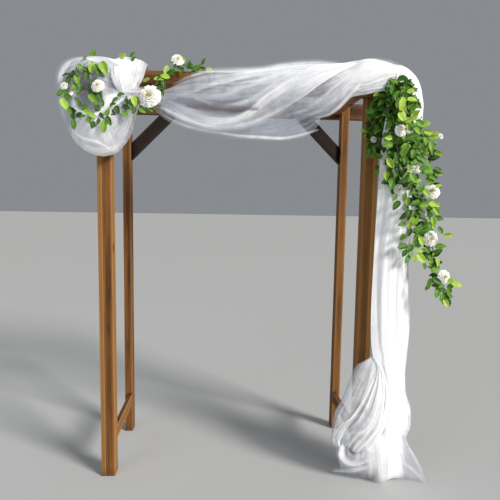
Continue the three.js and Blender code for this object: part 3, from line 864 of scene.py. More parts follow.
SWAG_LAYERS = [  # a row for each guide fold, from its left end to its right end
    [0.9, 1.2, 1.3, 3.5, 6], [0.8, 1.0, 1.4, 4.5, 8], [0.5, 0.5, 1.5, 6.5, 11], [0.4, 1.1, 2.3, 8, 12],
    [0.4, 1.9, 4, 10, 12], [0.5, 2.9, 7, 11, 12], [0.7, 3.6, 9, 12, 12],
]
SWAG_BEHIND = [[0, 0, 0, 1, 4]] * 2 + [[0, 0, 0, 3, 6]] * 5
MAIN_RAMP = (0.1, 0.36)
OWN_RAMPS = {9: (0.5, 0.16, 0.05, 0.06), 7: (0.1, 0.2, 0.1, 0.3)}
SLIT = [(440, 2016, 8), (500, 2013, 13), (590, 2008, 15), (666, 2004, 13), (742, 2001, 9), (790, 1999, 5)]
main_parts = [gathered(SWAG_MAIN, SWAG_LAYERS, 10, 9, 100, 0.4, behind=SWAG_BEHIND)]
main_parts += ridges(CRESTS_MAIN, 110, ramp=MAIN_RAMP, own_ramps=OWN_RAMPS)
main_parts = [furrowed(part, SLIT) for part in main_parts]
swag_main = tulle_sheet("swag_main", main_parts, (0.55, 1.1))
finish_piece(swag_main, "tulle", "tulle_swag")

# %% Guide folds of the lower wrap and the end roll
SWAG_LOWER = [
    [(330, -140, 1975), (405, -142, 1945), (505, -144, 1922), (611, -142, 1910), (708, -140, 1901),
     (794, -138, 1896), (880, -138, 1900), (960, -140, 1930), (1030, -142, 1964), (1090, -142, 1974),
     (1150, -140, 1984), (1206, -138, 2016), (1244, -138, 2052), (1275, -140, 2082), (1310, -142, 2092),
     (1350, -146, 2098), (1396, -148, 2110), (1450, -148, 2122), (1500, -146, 2136), (1532, -142, 2144)],
    [(332, -146, 1990), (408, -146, 1968), (508, -146, 1946), (614, -144, 1936), (711, -142, 1930),
     (797, -142, 1934), (884, -144, 1950), (962, -152, 1978), (1034, -158, 2000), (1100, -160, 2010),
     (1162, -160, 2034), (1214, -160, 2072), (1252, -158, 2104), (1284, -160, 2124), (1316, -164, 2136),
     (1356, -168, 2142), (1400, -170, 2152), (1452, -170, 2164), (1502, -166, 2174), (1534, -158, 2180)],
    [(335, -142, 2006), (412, -140, 1996), (512, -136, 1984), (618, -132, 1980), (715, -130, 1984),
     (801, -132, 1998), (888, -138, 2020), (966, -150, 2044), (1040, -160, 2066), (1110, -162, 2086),
     (1174, -162, 2112), (1224, -160, 2142), (1262, -158, 2168), (1296, -160, 2186), (1330, -166, 2198),
     (1366, -172, 2206), (1406, -174, 2214), (1456, -172, 2216), (1504, -166, 2214), (1536, -154, 2208)],
    [(338, -136, 2024), (416, -128, 2026), (516, -118, 2032), (622, -112, 2040), (718, -110, 2052),
     (806, -112, 2072), (892, -118, 2096), (970, -130, 2120), (1046, -142, 2144), (1120, -146, 2168),
     (1184, -146, 2190), (1236, -144, 2212), (1276, -142, 2232), (1308, -146, 2248), (1342, -152, 2258),
     (1376, -154, 2264), (1414, -152, 2263), (1462, -146, 2257), (1508, -138, 2245), (1540, -126, 2232)],
    [(340, -124, 2040), (417, -112, 2050), (517, -102, 2060), (623, -98, 2074), (719, -96, 2090),
     (807, -96, 2108), (895, -98, 2130), (974, -104, 2154), (1050, -112, 2180), (1126, -116, 2204),
     (1190, -114, 2224), (1244, -108, 2244), (1286, -104, 2262), (1318, -104, 2274), (1350, -104, 2281),
     (1384, -104, 2283), (1420, -102, 2279), (1466, -98, 2270), (1512, -92, 2256), (1546, -82, 2240)],
    [(341, -112, 2050), (418, -98, 2066), (518, -94, 2082), (624, -92, 2096), (720, -92, 2112),
     (808, -92, 2128), (896, -90, 2150), (976, -84, 2174), (1054, -74, 2200), (1130, -60, 2216),
     (1194, -48, 2228), (1250, -40, 2242), (1292, -36, 2254), (1324, -34, 2264), (1356, -32, 2270),
     (1388, -30, 2271), (1424, -28, 2268), (1470, -26, 2260), (1516, -24, 2248), (1550, -22, 2234)],
]
print(len(SWAG_LOWER), "guide folds")

# %% Lower wrap and end roll of the swag
CRESTS_LOWER = {
    3: [(937, -168, 1984, 10), (1007, -172, 2000, 12), (1077, -174, 2034, 14), (1141, -174, 2084, 15),
        (1196, -170, 2133, 15), (1248, -162, 2181, 15), (1301, -148, 2228, 13), (1346, -130, 2262, 10)],
    4: [(1009, -166, 1975, 8), (1089, -168, 1996, 10), (1159, -170, 2042, 12), (1213, -170, 2092, 13),
        (1258, -166, 2144, 13), (1300, -158, 2191, 13), (1348, -144, 2236, 11), (1400, -124, 2268, 9)],
    5: [(1081, -160, 1975, 7), (1152, -162, 1994, 9), (1206, -164, 2034, 9), (1245, -166, 2077, 10),
        (1279, -168, 2114, 11), (1314, -166, 2153, 11), (1356, -160, 2187, 10), (1404, -150, 2221, 9)],
    9: [(1260, -150, 2207, 20), (1309, -156, 2216, 24), (1360, -158, 2225, 29), (1411, -158, 2224, 32),
        (1464, -156, 2216, 32), (1519, -150, 2195, 32), (1560, -144, 2163, 30)],
    4.5: [(1293, -158, 2107, 10), (1331, -164, 2124, 13), (1371, -166, 2135, 15), (1418, -166, 2141, 15),
          (1464, -164, 2148, 15), (1507, -160, 2153, 15)],
}
LOWER_LAYERS = [
    [0.5, 0.7, 1.3, 4, 8], [0.5, 0.8, 1.5, 5, 9], [0.5, 0.8, 1.8, 8, 11], [0.5, 1.2, 2.0, 9, 12],
    [0.5, 1.4, 2.4, 9, 12], [0.5, 1.4, 2.4, 8, 12],
]
LOWER_BEHIND = [[0, 0, 0, 2, 4], [0, 0, 0, 4, 6], [0, 0, 1, 6, 8]] + [[0, 0, 2, 6, 8]] * 3
lower_parts = [gathered(SWAG_LOWER, LOWER_LAYERS, 7, 7, 140, 0.4, behind=LOWER_BEHIND)]
lower_parts += ridges(CRESTS_LOWER, 150, ramp=(0.2, 0.6))
lower_parts = [furrowed(part, SLIT) for part in lower_parts]
swag_lower = tulle_sheet("swag_lower", lower_parts, (0.34, 1.3))
finish_piece(swag_lower, "tulle", "tulle_swag")

# %% Loose layers under the swag, with the hem
SWAG_HANG = [(256, -150, 2016), (300, -154, 1974), (355, -154, 1934), (450, -152, 1900), (550, -150, 1878),
             (657, -148, 1862), (760, -146, 1855), (860, -144, 1854), (964, -144, 1861),
             (1040, -142, 1880),
             (1100, -138, 1930), (1120, -134, 1980)]
HEM_CREST = [(302, -158, 1988, 5), (330, -160, 1964, 5), (405, -160, 1928, 6), (505, -160, 1901, 7),
             (611, -160, 1886, 7), (708, -160, 1874, 7), (794, -160, 1870, 7), (912, -160, 1867, 7),
             (990, -158, 1879, 7), (1061, -156, 1900, 6), (1107, -154, 1916, 4)]
hang_parts = [gathered([SWAG_HANG, moved(SWAG_HANG, 4, -4, 26), moved(SWAG_HANG, 8, 4, 62),
                        moved(SWAG_HANG, 10, 18, 110)], [1.0, 0.8, 0.9, 0.7], 3, 5, 180),
              ridge(HEM_CREST, 2.2, 190)]
swag_hang = tulle_sheet("swag_hang", hang_parts, (0.13, 1.1))
finish_piece(swag_hang, "tulle", "tulle_swag")

# %% Back of the swag
SWAG_BACK = [(300, -140, 2030), (360, -120, 1990), (450, -106, 1956), (560, -96, 1934), (700, -84, 1916),
             (860, -78, 1912), (960, -76, 1926), (1040, -78, 1950), (1130, -84, 1990), (1200, -90, 2040)]
swag_back = tulle_sheet("swag_back", [gathered([
    moved(SWAG_BACK, 0, -44, -12), moved(SWAG_BACK, 0, -10, 6), moved(SWAG_BACK, 4, 6, 60),
    [(x, min(y - 2, -92), max(z + 30, 2096)) for x, y, z in SWAG_BACK]],
    [0.6, 0.8, 0.8, 0.8], 6, 9, 200)], (0.2, 1.0))
finish_piece(swag_back, "tulle", "tulle_swag")

# %% [markdown]
# ## The fall
# From the roll the cloth goes over the beam's end and hangs outside the right post, all of it
# in one long gathered column. Near the ground its left part is pulled round the front of the post
# into a lobe, and the rest spreads into a small train. The column could be a pleated tube, but it leans,
# widens and thins towards its back, so it takes guide folds from the beam to the ground as well.

# %% Guide folds of the fall
FALL = [
    [(1466, -104, 2262), (1488, -150, 2240), (1494, -170, 2196), (1484, -168, 2120), (1464, -150, 2030),
     (1446, -128, 1860), (1442, -108, 1500), (1440, -98, 1200), (1440, -94, 960), (1446, -98, 800),
     (1462, -106, 690), (1496, -114, 580), (1522, -124, 470), (1526, -134, 380), (1506, -144, 300),
     (1494, -150, 210), (1492, -140, 110), (1492, -124, 14)],
    [(1496, -98, 2266), (1532, -146, 2244), (1552, -176, 2190), (1556, -178, 2110), (1548, -168, 2030),
     (1530, -146, 1860), (1514, -124, 1500), (1506, -110, 1200), (1506, -104, 960), (1514, -112, 800),
     (1528, -118, 690), (1546, -126, 580), (1560, -134, 470), (1558, -140, 380), (1540, -150, 300),
     (1530, -156, 210), (1530, -148, 110), (1530, -130, 14)],
    [(1520, -92, 2268), (1562, -134, 2238), (1596, -164, 2180), (1606, -170, 2105), (1604, -162, 2030),
     (1590, -144, 1860), (1572, -120, 1500), (1562, -106, 1200), (1566, -100, 960), (1572, -106, 800),
     (1580, -110, 690), (1588, -114, 580), (1594, -118, 470), (1590, -122, 380), (1576, -132, 300),
     (1566, -144, 210), (1568, -140, 110), (1570, -122, 14)],
    [(1538, -84, 2266), (1590, -108, 2228), (1632, -124, 2166), (1652, -126, 2095), (1656, -120, 2030),
     (1646, -106, 1860), (1626, -88, 1500), (1614, -76, 1200), (1622, -70, 960), (1626, -72, 800),
     (1626, -74, 690), (1628, -78, 580), (1630, -84, 470), (1628, -92, 380), (1614, -106, 300),
     (1604, -120, 210), (1604, -120, 110), (1606, -110, 14)],
    [(1546, -68, 2262), (1608, -62, 2214), (1654, -56, 2146), (1682, -44, 2080), (1688, -40, 2020),
     (1686, -30, 1860), (1672, -22, 1500), (1670, -16, 1200), (1690, -14, 960), (1694, -16, 800),
     (1686, -18, 690), (1680, -22, 560), (1690, -28, 460), (1714, -36, 380), (1718, -44, 280),
     (1690, -56, 210), (1680, -66, 110), (1682, -74, 14)],
    [(1540, -48, 2258), (1590, -18, 2206), (1630, 6, 2140), (1656, 24, 2080), (1664, 32, 2020),
     (1660, 38, 1860), (1640, 42, 1500), (1630, 44, 1200), (1650, 46, 960), (1654, 48, 800),
     (1654, 48, 690), (1656, 48, 580), (1664, 48, 470), (1672, 48, 380), (1664, 44, 290),
     (1650, 40, 210), (1646, 34, 110), (1648, 30, 14)],
    [(1510, -32, 2254), (1540, 2, 2206), (1562, 24, 2140), (1570, 38, 2080), (1572, 44, 2020),
     (1570, 46, 1860), (1556, 48, 1500), (1548, 48, 1200), (1556, 50, 960), (1560, 52, 800),
     (1560, 54, 690), (1564, 58, 580), (1570, 60, 470), (1574, 62, 380), (1572, 62, 290),
     (1566, 62, 210), (1564, 62, 110), (1564, 62, 14)],
    [(1474, -26, 2252), (1486, 2, 2200), (1484, 24, 2140), (1480, 38, 2080), (1478, 44, 2020),
     (1476, 46, 1860), (1474, 48, 1500), (1474, 48, 1200), (1472, 50, 960), (1472, 52, 800),
     (1472, 54, 690), (1472, 56, 580), (1472, 58, 470), (1472, 60, 380), (1470, 62, 290),
     (1468, 62, 210), (1466, 62, 110), (1466, 62, 14)],
]
print(len(FALL), "guide folds")

# %% Fall
CRESTS_FALL = {
    6: [(1516, -122, 694, 9), (1538, -128, 610, 11), (1558, -134, 515, 13), (1560, -142, 415, 13),
        (1547, -150, 333, 13), (1524, -160, 263, 13)],
    5: [(1520, -150, 1860, 9), (1502, -132, 1500, 10), (1496, -120, 1200, 11), (1500, -114, 960, 11),
        (1506, -118, 800, 10), (1520, -124, 690, 8)],
    4: [(1640, -136, 2030, 9), (1626, -126, 1860, 11), (1600, -112, 1500, 12), (1586, -104, 1200, 12),
        (1590, -100, 960, 12), (1596, -102, 760, 11), (1600, -106, 620, 9)],
}
FALL_LAYERS = [
    [8, 7, 7, 7, 6, 2], [10, 11, 11, 11, 11, 5], [12, 13, 13, 13, 13, 4], [12, 12, 10, 10, 10, 2],
    [10, 5, 2.2, 2.2, 2, 1], [8, 3, 1.8, 1.8, 1.8, 1], [6, 3, 2.2, 2.2, 2.2, 1], [4, 3, 3, 3, 3, 1],
]
fall_parts = [gathered(FALL, FALL_LAYERS, 9, 4, 260, 0.25)]
fall_parts += ridges(CRESTS_FALL, 270)
fall = tulle_sheet("fall", fall_parts, (0.6, 2.35))
finish_piece(fall, "tulle", "tulle_fall", "tulle_train")

# %% [markdown]
# ## The train
# At the foot the net is caught round the front of the post, puffs out to the left as a lobe, and lies on
# the ground in soft folds. Draping it by hand in sculpt mode would work too. Lines are easier to
# correct against a picture, so the lobe and the skirt on the ground have guide folds of their own,
# with fainter ridges than the swag, and hollows where the net is drawn apart.

# %% Guide folds of the lobe
LOBE_EDGE = [(1451, -94, 703), (1400, -98, 673), (1367, -102, 643), (1329, -108, 555), (1298, -110, 464),
             (1262, -110, 390), (1246, -110, 292), (1245, -108, 233), (1261, -108, 197),
             (1286, -106, 177)]
LOBE_BACK = [(1456, -70, 700), (1420, -62, 664), (1392, -60, 628), (1352, -62, 540), (1318, -64, 450),
             (1286, -66, 372), (1266, -68, 290), (1264, -70, 228), (1276, -74, 190), (1296, -80, 150)]
LOBE_RIDGE = [(1449, -98, 707), (1472, -110, 670), (1474, -120, 630), (1431, -132, 540), (1400, -138, 478),
              (1350, -136, 392), (1303, -130, 341), (1271, -120, 294), (1256, -110, 236),
              (1292, -112, 190)]
LOBE_BELLY = [(1462, -108, 704), (1486, -122, 640), (1482, -134, 570), (1460, -146, 480), (1436, -152, 410),
              (1400, -154, 350), (1358, -150, 306), (1326, -142, 266), (1310, -130, 222),
              (1316, -124, 180)]
LOBE_INNER = [(1474, -108, 704), (1510, -126, 620), (1524, -138, 530), (1518, -150, 440), (1500, -160, 370),
              (1470, -166, 310), (1436, -168, 262), (1404, -164, 226), (1382, -156, 190),
              (1380, -150, 150)]
LOBE_END = moved(LOBE_INNER, 44, 10, -10)
print(len(LOBE_EDGE), "points on each guide fold")

# %% Lobe of the train
TRAIN_RIDGES = 0.4  # strength of the ridges on the train
CRESTS_LOBE = {
    6: [(1449, -102, 707, 13), (1462, -112, 679, 17), (1462, -122, 643, 19), (1450, -130, 601, 18),
        (1431, -138, 547, 14), (1407, -142, 493, 12), (1383, -144, 437, 13), (1345, -140, 381, 11),
        (1303, -134, 341, 10), (1271, -124, 294, 9), (1255, -112, 238, 7)],
    1.5: [(1459, -120, 671, 7), (1445, -128, 611, 8), (1417, -134, 557, 9), (1386, -134, 512, 9),
          (1361, -130, 459, 8), (1337, -124, 399, 7)],
    5: [(1493, -154, 469, 8), (1485, -160, 415, 10), (1472, -165, 365, 11), (1456, -167, 321, 11),
        (1467, -165, 274, 9)],
    3: [(1421, -155, 321, 8), (1410, -161, 267, 10), (1428, -167, 212, 12), (1467, -171, 174, 12)],
}
LOBE_LAYERS = [[8, 5, 4, 4], [8, 4, 3, 3], [9, 6, 5, 5], [9, 8, 7, 7]]
LOBE_HOLLOW = [(1318, 196, 8), (1336, 176, 13), (1362, 163, 15), (1392, 166, 12), (1416, 184, 8)]
lobe_parts = [gathered([LOBE_BACK, LOBE_EDGE, LOBE_RIDGE], [0.8, 1.5, 4], 4, 6, 300, 0.55,
                       behind=[0, 0, 3], bunch=2),
              gathered([LOBE_RIDGE, LOBE_BELLY, LOBE_INNER, LOBE_END], LOBE_LAYERS, 9, 13, 320, 0.55,
                       behind=[2, 1, 4, 8], bunch=2)]
lobe_parts += ridges(CRESTS_LOBE, 330, strength=TRAIN_RIDGES)
lobe_parts = [furrowed(part, LOBE_HOLLOW, 0.85) for part in lobe_parts]
lobe = tulle_sheet("train_lobe", lobe_parts, (0.33, 0.7))
finish_piece(lobe, "tulle", "tulle_train")

# %% Guide folds of the skirt on the ground
SKIRT = [
    [(1302, -94, 236), (1292, -94, 182), (1288, -96, 130), (1298, -92, 82), (1306, -66, 34),
     (1293, -37, 5)],
    [(1351, -130, 256), (1342, -132, 203), (1337, -136, 141), (1344, -132, 92), (1350, -104, 36),
     (1350, -64, 5)],
    [(1403, -140, 272), (1398, -148, 217), (1400, -152, 150), (1405, -148, 92), (1408, -134, 34),
     (1408, -105, 5)],
    [(1456, -150, 288), (1455, -160, 228), (1462, -167, 163), (1466, -168, 100), (1470, -154, 36),
     (1473, -117, 5)],
    [(1506, -150, 298), (1510, -162, 240), (1515, -172, 170), (1516, -178, 110), (1514, -176, 40),
     (1511, -156, 5)],
    [(1551, -146, 307), (1556, -158, 237), (1562, -168, 167), (1570, -172, 108), (1586, -156, 40),
     (1598, -107, 5)],
    [(1590, -136, 300), (1601, -143, 240), (1618, -152, 169), (1638, -158, 104), (1656, -156, 40),
     (1668, -133, 5)],
    [(1629, -116, 288), (1644, -121, 234), (1672, -132, 169), (1699, -144, 104), (1720, -152, 40),
     (1732, -145, 5)],
    [(1676, -84, 245), (1684, -91, 193), (1722, -107, 141), (1750, -130, 84), (1768, -152, 34),
     (1778, -172, 5)],
]
print(len(SKIRT), "guide folds")

# %% Skirt on the ground
CRESTS_SKIRT = {
    5: [(1319, -124, 226, 12), (1300, -126, 193, 15), (1297, -132, 155, 18), (1320, -144, 127, 19),
        (1362, -154, 117, 19), (1409, -163, 134, 17), (1456, -169, 162, 15), (1504, -171, 203, 14)],
    5.5: [(1270, -50, 13, 7), (1297, -66, 24, 11), (1325, -110, 50, 14), (1357, -138, 68, 15),
          (1403, -152, 86, 14), (1449, -164, 106, 14), (1491, -172, 135, 14), (1534, -174, 164, 13)],
    3.5: [(1624, -154, 133, 8), (1654, -160, 107, 9), (1693, -162, 79, 9), (1736, -161, 34, 8),
          (1765, -162, 7, 6)],
    2.5: [(1660, -100, 238, 8), (1674, -116, 192, 9), (1699, -130, 146, 9), (1731, -142, 93, 9),
          (1757, -154, 42, 8)],
}
SKIRT_LAYERS = [
    [0.1, 2, 2.5, 3, 2, 1], [0.1, 2, 3, 3, 1.5, 1.2], [0.1, 3, 3.5, 3, 1.2, 1.5], [0.1, 5, 5, 4, 1.6, 1.5],
    [0.1, 8, 8, 7, 4, 2], [0.1, 8, 9, 8, 4, 2], [0.1, 4, 3, 1.6, 1.0, 1.2], [0.1, 1.6, 1.2, 0.9, 0.8, 1.0],
    [0.1, 1.5, 1.5, 1.2, 1.0, 1.2],
]
SKIRT_BEHIND = [0, 0, 1, 4, 6, 6, 3, 0, 0]
SKIRT_HOLLOW = [(1350, 188, 8), (1357, 172, 9), (1378, 178, 6), (1396, 180, 4)]
skirt_parts = [gathered(SKIRT, SKIRT_LAYERS, 6, 12, 360, 0.4, behind=SKIRT_BEHIND, bunch=2.5)]
skirt_parts += ridges(CRESTS_SKIRT, 370, strength=TRAIN_RIDGES, ramp=(2.2, 1.1, 0.8))
skirt_parts = [furrowed(part, SKIRT_HOLLOW, 0.9) for part in skirt_parts]
skirt = tulle_sheet("train_skirt", skirt_parts, (0.42, 0.42))
finish_piece(skirt, "tulle", "tulle_train")

# %% [markdown]
# ## The tail
# A single layer of the same cloth hangs from the top rail between the two right posts, with light
# shining through it. It could be a fold of the fall, but it hangs free, so it is a sheet by itself.

# %% Tail
TAIL = [
    [(1384, 30, 2118), (1386, 30, 2040), (1388, 30, 1940), (1394, 32, 1860), (1398, 34, 1796)],
    [(1402, 70, 2122), (1406, 72, 2040), (1408, 76, 1940), (1408, 80, 1860), (1410, 86, 1794)],
    [(1412, 110, 2120), (1416, 116, 2040), (1414, 120, 1940), (1416, 124, 1860), (1416, 126, 1792)],
    [(1424, 150, 2116), (1426, 160, 2040), (1424, 164, 1940), (1422, 164, 1860), (1420, 166, 1796)],
]
tail = tulle_sheet("tail", [gathered(TAIL, 1.6, 4, 6, 400)], (0.14, 0.33))
finish_piece(tail, "tulle", "tulle_tail")

# %% [markdown]
# ## The bunch at the left corner
# The end of the cloth is tied at the corner into a knot. Above it a fan opens and goes over the
# beam, and the rest is puffed out into a fat loop round the post, with a hollow in its middle. A short
# band joins the knot to the swag. Cloth on a blown-up ball gives such a puff, but not these creases. So
# the loop's guide folds start at the knot, go over the front to its outline and end at its back.

# %% Fan and band
FAN = [
    [(113, -210, 2064), (98, -226, 2090), (86, -232, 2126), (84, -220, 2172), (84, -190, 2212),
     (82, -100, 2236), (80, -50, 2224), (76, -24, 2180)],
    [(126, -214, 2060), (113, -230, 2100), (105, -236, 2148), (101, -212, 2198), (98, -168, 2230),
     (92, -100, 2240), (90, -50, 2230), (86, -24, 2180)],
    [(140, -214, 2058), (132, -232, 2110), (126, -230, 2162), (122, -200, 2214), (120, -156, 2237),
     (108, -100, 2243), (106, -50, 2234), (106, -24, 2180)],
    [(158, -212, 2058), (160, -226, 2118), (161, -218, 2170), (161, -184, 2220), (160, -150, 2240),
     (158, -100, 2245), (156, -50, 2234), (154, -24, 2180)],
    [(178, -207, 2060), (194, -206, 2112), (207, -196, 2158), (213, -176, 2212), (215, -142, 2234),
     (213, -100, 2238), (208, -60, 2222), (204, -26, 2170)],
    [(196, -200, 2064), (215, -190, 2100), (231, -178, 2138), (242, -160, 2190), (245, -126, 2214),
     (240, -92, 2218), (230, -60, 2190), (216, -30, 2150)],
]
BAND = [
    [(120, -205, 2088), (165, -206, 2092), (215, -196, 2092), (262, -176, 2086), (306, -154, 2082)],
    [(118, -212, 2058), (165, -216, 2060), (215, -206, 2064), (262, -188, 2058), (306, -162, 2050)],
    [(118, -210, 2028), (165, -212, 2030), (215, -202, 2034), (262, -184, 2026), (306, -158, 2016)],
]
fan_parts = [gathered(FAN, [3, 4, 6, 6, 3.5, 2.2], 8, 6, 430, 0.6, behind=[2, 3, 3, 3, 2, 1]),
             gathered(BAND, [1.2, 3, 1.5], 5, 4, 440, 0.5)]
fan = tulle_sheet("bunch_fan", fan_parts, (0.22, 0.3))
finish_piece(fan, "tulle", "tulle_pouf")

# %% Guide folds of the puffed loop
KNOT = np.array([172, -198, 2056])
BACK_KNOT = np.array([70, 62, 2050])
ROUND_THE_BACK = 6  # from this point of the course on, a fold runs to the knot's back
SWIRL = 0.2  # how far the folds are swept round the knot
BAG_OUTLINE = [(80, 2236), (36, 2238), (-30, 2238), (-90, 2230), (-140, 2214), (-178, 2190), (-196, 2150),
               (-204, 2096), (-202, 2031), (-190, 1985), (-172, 1930), (-152, 1876), (-126, 1836),
               (-80, 1794), (-20, 1771), (20, 1768), (62, 1778), (94, 1800), (122, 1836), (146, 1880),
               (160, 1932), (174, 1986), (186, 2034)]
BAG_COURSE = [(0.0, 0), (0.16, -16), (0.4, -26), (0.66, -20), (0.88, 26), (1.0, 104), (0.92, 190),
              (0.62, 240), (0.3, 256)]  # share of the way out, and how far behind the knot
HOLLOW = (-38, 2032)  # x and z of its middle
HOLLOW_REACH = 62.0
HOLLOW_DEPTH = 120.0
FRONT_ENDS = -60  # behind this y the loop has no hollow


def bag_guide(x, z):
    """A guide fold from the knot over the front to the outline and round to the back."""
    guide = []
    for number, (share, behind) in enumerate(BAG_COURSE):
        start = KNOT if number < ROUND_THE_BACK else BACK_KNOT
        bend = SWIRL * math.sin(math.pi * min(share, 1))
        guide.append((start[0] + share * (x - start[0]) + bend * (z - KNOT[2]),
                      KNOT[1] + behind, start[2] + share * (z - start[2]) - bend * (x - KNOT[0])))
    return guide


def pressed_in(surface):
    """The bag's front with a hollow pressed into it."""
    distance = np.hypot(surface[..., 0] - HOLLOW[0], surface[..., 2] - HOLLOW[1]) / HOLLOW_REACH
    at_front = surface[..., 1] < FRONT_ENDS
    surface[..., 1] += HOLLOW_DEPTH * np.exp(-distance ** 4) * at_front
    return surface


bag_guides = [bag_guide(x, z) for x, z in BAG_OUTLINE]
print(len(bag_guides), "guide folds")

# %% Puffed loop
CRESTS_BAG = {
    3.9: [(175, -210, 2063, 8), (148, -220, 2051, 10), (117, -228, 2027, 11), (89, -232, 2002, 11),
          (60, -232, 1971, 12), (32, -228, 1933, 11), (8, -220, 1892, 9)],
    4: [(178, -202, 2041, 7), (177, -198, 1999, 9), (169, -192, 1953, 11), (155, -190, 1905, 12),
        (133, -188, 1856, 12), (100, -184, 1813, 11)],
    3: [(-104, -196, 1869, 6), (-62, -210, 1839, 7), (-22, -218, 1827, 8), (17, -220, 1819, 8),
        (53, -214, 1801, 8), (83, -198, 1782, 7)],
    3.2: [(-60, -186, 1804, 10), (-10, -192, 1785, 13), (38, -194, 1783, 14), (87, -192, 1799, 13),
          (125, -188, 1835, 11)],
    5: [(-176, -166, 2063, 11), (-173, -172, 2109, 14), (-163, -178, 2150, 15), (-137, -182, 2183, 15),
        (-100, -184, 2200, 14), (-62, -184, 2206, 14), (-25, -182, 2203, 13), (12, -176, 2208, 12),
        (33, -166, 2220, 11), (64, -156, 2220, 12)],
    3.4: [(59, -194, 2195, 9), (60, -210, 2144, 12), (57, -220, 2094, 13), (53, -228, 2046, 13),
          (51, -230, 1999, 11)],
    2: [(-192, -134, 2098, 7), (-190, -138, 2040, 8), (-175, -144, 1981, 9), (-152, -150, 1923, 9),
        (-125, -156, 1869, 8), (-90, -162, 1823, 7)],
    3.6: [(166, -212, 2048, 7), (147, -216, 2000, 9), (130, -218, 1957, 11), (96, -216, 1914, 11),
          (63, -212, 1866, 11), (33, -208, 1827, 10)],
    2.4: [(146, -210, 1968, 7), (142, -208, 1926, 9), (126, -204, 1878, 10), (94, -200, 1835, 10),
          (54, -196, 1805, 9)],
    2.2: [(-14, -202, 1994, 7), (-41, -210, 1963, 8), (-74, -212, 1929, 9), (-105, -204, 1891, 10)],
}
BAG_LAYERS = [8, 7, 4.5, 4, 4.2, 4.2, 3.4, 2.6, 2.2, 2.0, 2.2, 3, 4.5, 6, 7, 7, 7, 5, 3.4, 2.6, 3, 4, 5]
BAG_ALONG = [0.4, 0.7, 1, 1, 1, 1, 1]  # from the knot to the back
bag_layers = np.outer(BAG_LAYERS, BAG_ALONG)
bag_parts = [gathered(bag_guides, bag_layers, 9, 6, 460, 0.3, bunch=3.5, shaped=pressed_in)]
bag_parts += ridges(CRESTS_BAG, 480, strength=0.5)
bag = tulle_sheet("bunch_bag", bag_parts, (0.65, 0.75))
finish_piece(bag, "tulle", "tulle_pouf")

# %% [markdown]
# ## Garland leaves
# The leaves are die-cut polyester satin, printed green and pressed in a mould for the veins and the
# curl. The print runs from a deep green to a yellow green from leaf to leaf, and a little paler
# at the rib, and the coating gives it a low gloss. Leaves deep in the garland's shade are drawn in a
# darker green still, which is painted shade. Veins stand about 6 mm apart on the real leaf, and
# they are drawn so: eight on a leaf of 50 mm. Each leaf is a small bent grid, because a flat card with
# a leaf's outline would lose the rib, the droop and the light that they catch.

# %% Leaf material
VEINS_ON_LEAF = 8.0
SHADED_DEEPEST_GREEN, DEEP_GREEN, LEAF_GREEN, LIME = "#132a07", "#1f3a0c", "#4c8516", "#b9d653"
PALE_RIB = "#90b556"


def printed_leaf():
    """Printed polyester leaf with a pressed rib and veins. leaf_place holds across, along and the tint."""
    material, tree, output = new_material("printed_leaf")
    place = add_node(tree, "ShaderNodeAttribute", attribute_name="leaf_place").outputs["Vector"]
    parts = add_node(tree, "ShaderNodeSeparateXYZ", {0: place}).outputs
    sideways = add_node(tree, "ShaderNodeMath", {0: parts[0]}, operation="ABSOLUTE").outputs[0]
    slanted = add_node(tree, "ShaderNodeMath", {
        0: sideways, 1: -0.35, 2: parts[1]}, operation="MULTIPLY_ADD")
    wave = add_node(tree, "ShaderNodeMath", {
        0: slanted.outputs[0], 1: 2 * math.pi * VEINS_ON_LEAF}, operation="MULTIPLY")
    wave = add_node(tree, "ShaderNodeMath", {0: wave.outputs[0]}, operation="SINE")
    veins = add_node(tree, "ShaderNodeMapRange", {0: wave.outputs[0], 1: 0.55, 2: 1.0, 3: 0.0, 4: 0.35})
    rib = add_node(tree, "ShaderNodeMapRange", {0: sideways, 1: 0.0, 2: 0.16, 3: 0.6, 4: 0.0})
    pale = add_node(tree, "ShaderNodeMath", {0: veins.outputs[0], 1: rib.outputs[0]}, operation="MAXIMUM")
    mottle = add_node(tree, "ShaderNodeTexNoise", {"Vector": place, "Scale": 3.0, "Detail": 2.0})
    tint = add_node(tree, "ShaderNodeMath", {
        0: mottle.outputs[0], 1: 0.3, 2: parts[2]}, operation="MULTIPLY_ADD")
    dark = add_node(tree, "ShaderNodeMapRange", {0: tint.outputs[0], 1: 0.15, 2: 0.6})
    green = add_node(tree, "ShaderNodeMix", {
        0: dark.outputs[0], 6: linear(DEEP_GREEN), 7: linear(LEAF_GREEN)}, data_type="RGBA")
    # Painted shade: low tints turn to the deepest green, for leaves deep in the garland's shade.
    painted_leaf_shade = add_node(tree, "ShaderNodeMapRange", {0: tint.outputs[0], 1: -0.3, 2: 0.15, 3: 1.0, 4: 0.0})
    green = add_node(tree, "ShaderNodeMix", {
        0: painted_leaf_shade.outputs[0], 6: green.outputs[2], 7: linear(SHADED_DEEPEST_GREEN)}, data_type="RGBA")
    lime = add_node(tree, "ShaderNodeMapRange", {0: tint.outputs[0], 1: 0.6, 2: 1.15})
    green = add_node(tree, "ShaderNodeMix", {
        0: lime.outputs[0], 6: green.outputs[2], 7: linear(LIME)}, data_type="RGBA")
    green = add_node(tree, "ShaderNodeMix", {
        0: pale.outputs[0], 6: green.outputs[2], 7: linear(PALE_RIB)}, data_type="RGBA")
    bump = add_node(tree, "ShaderNodeBump", {"Height": pale.outputs[0], "Strength": 0.4, "Distance": 0.001})
    surface = add_node(tree, "ShaderNodeBsdfPrincipled", {
        "Base Color": green.outputs[2], "Roughness": 0.5, "Normal": bump.outputs[0], "IOR": 1.5,
        "Specular IOR Level": 0.3})
    tree.links.new(surface.outputs[0], output.inputs[0])
    return material


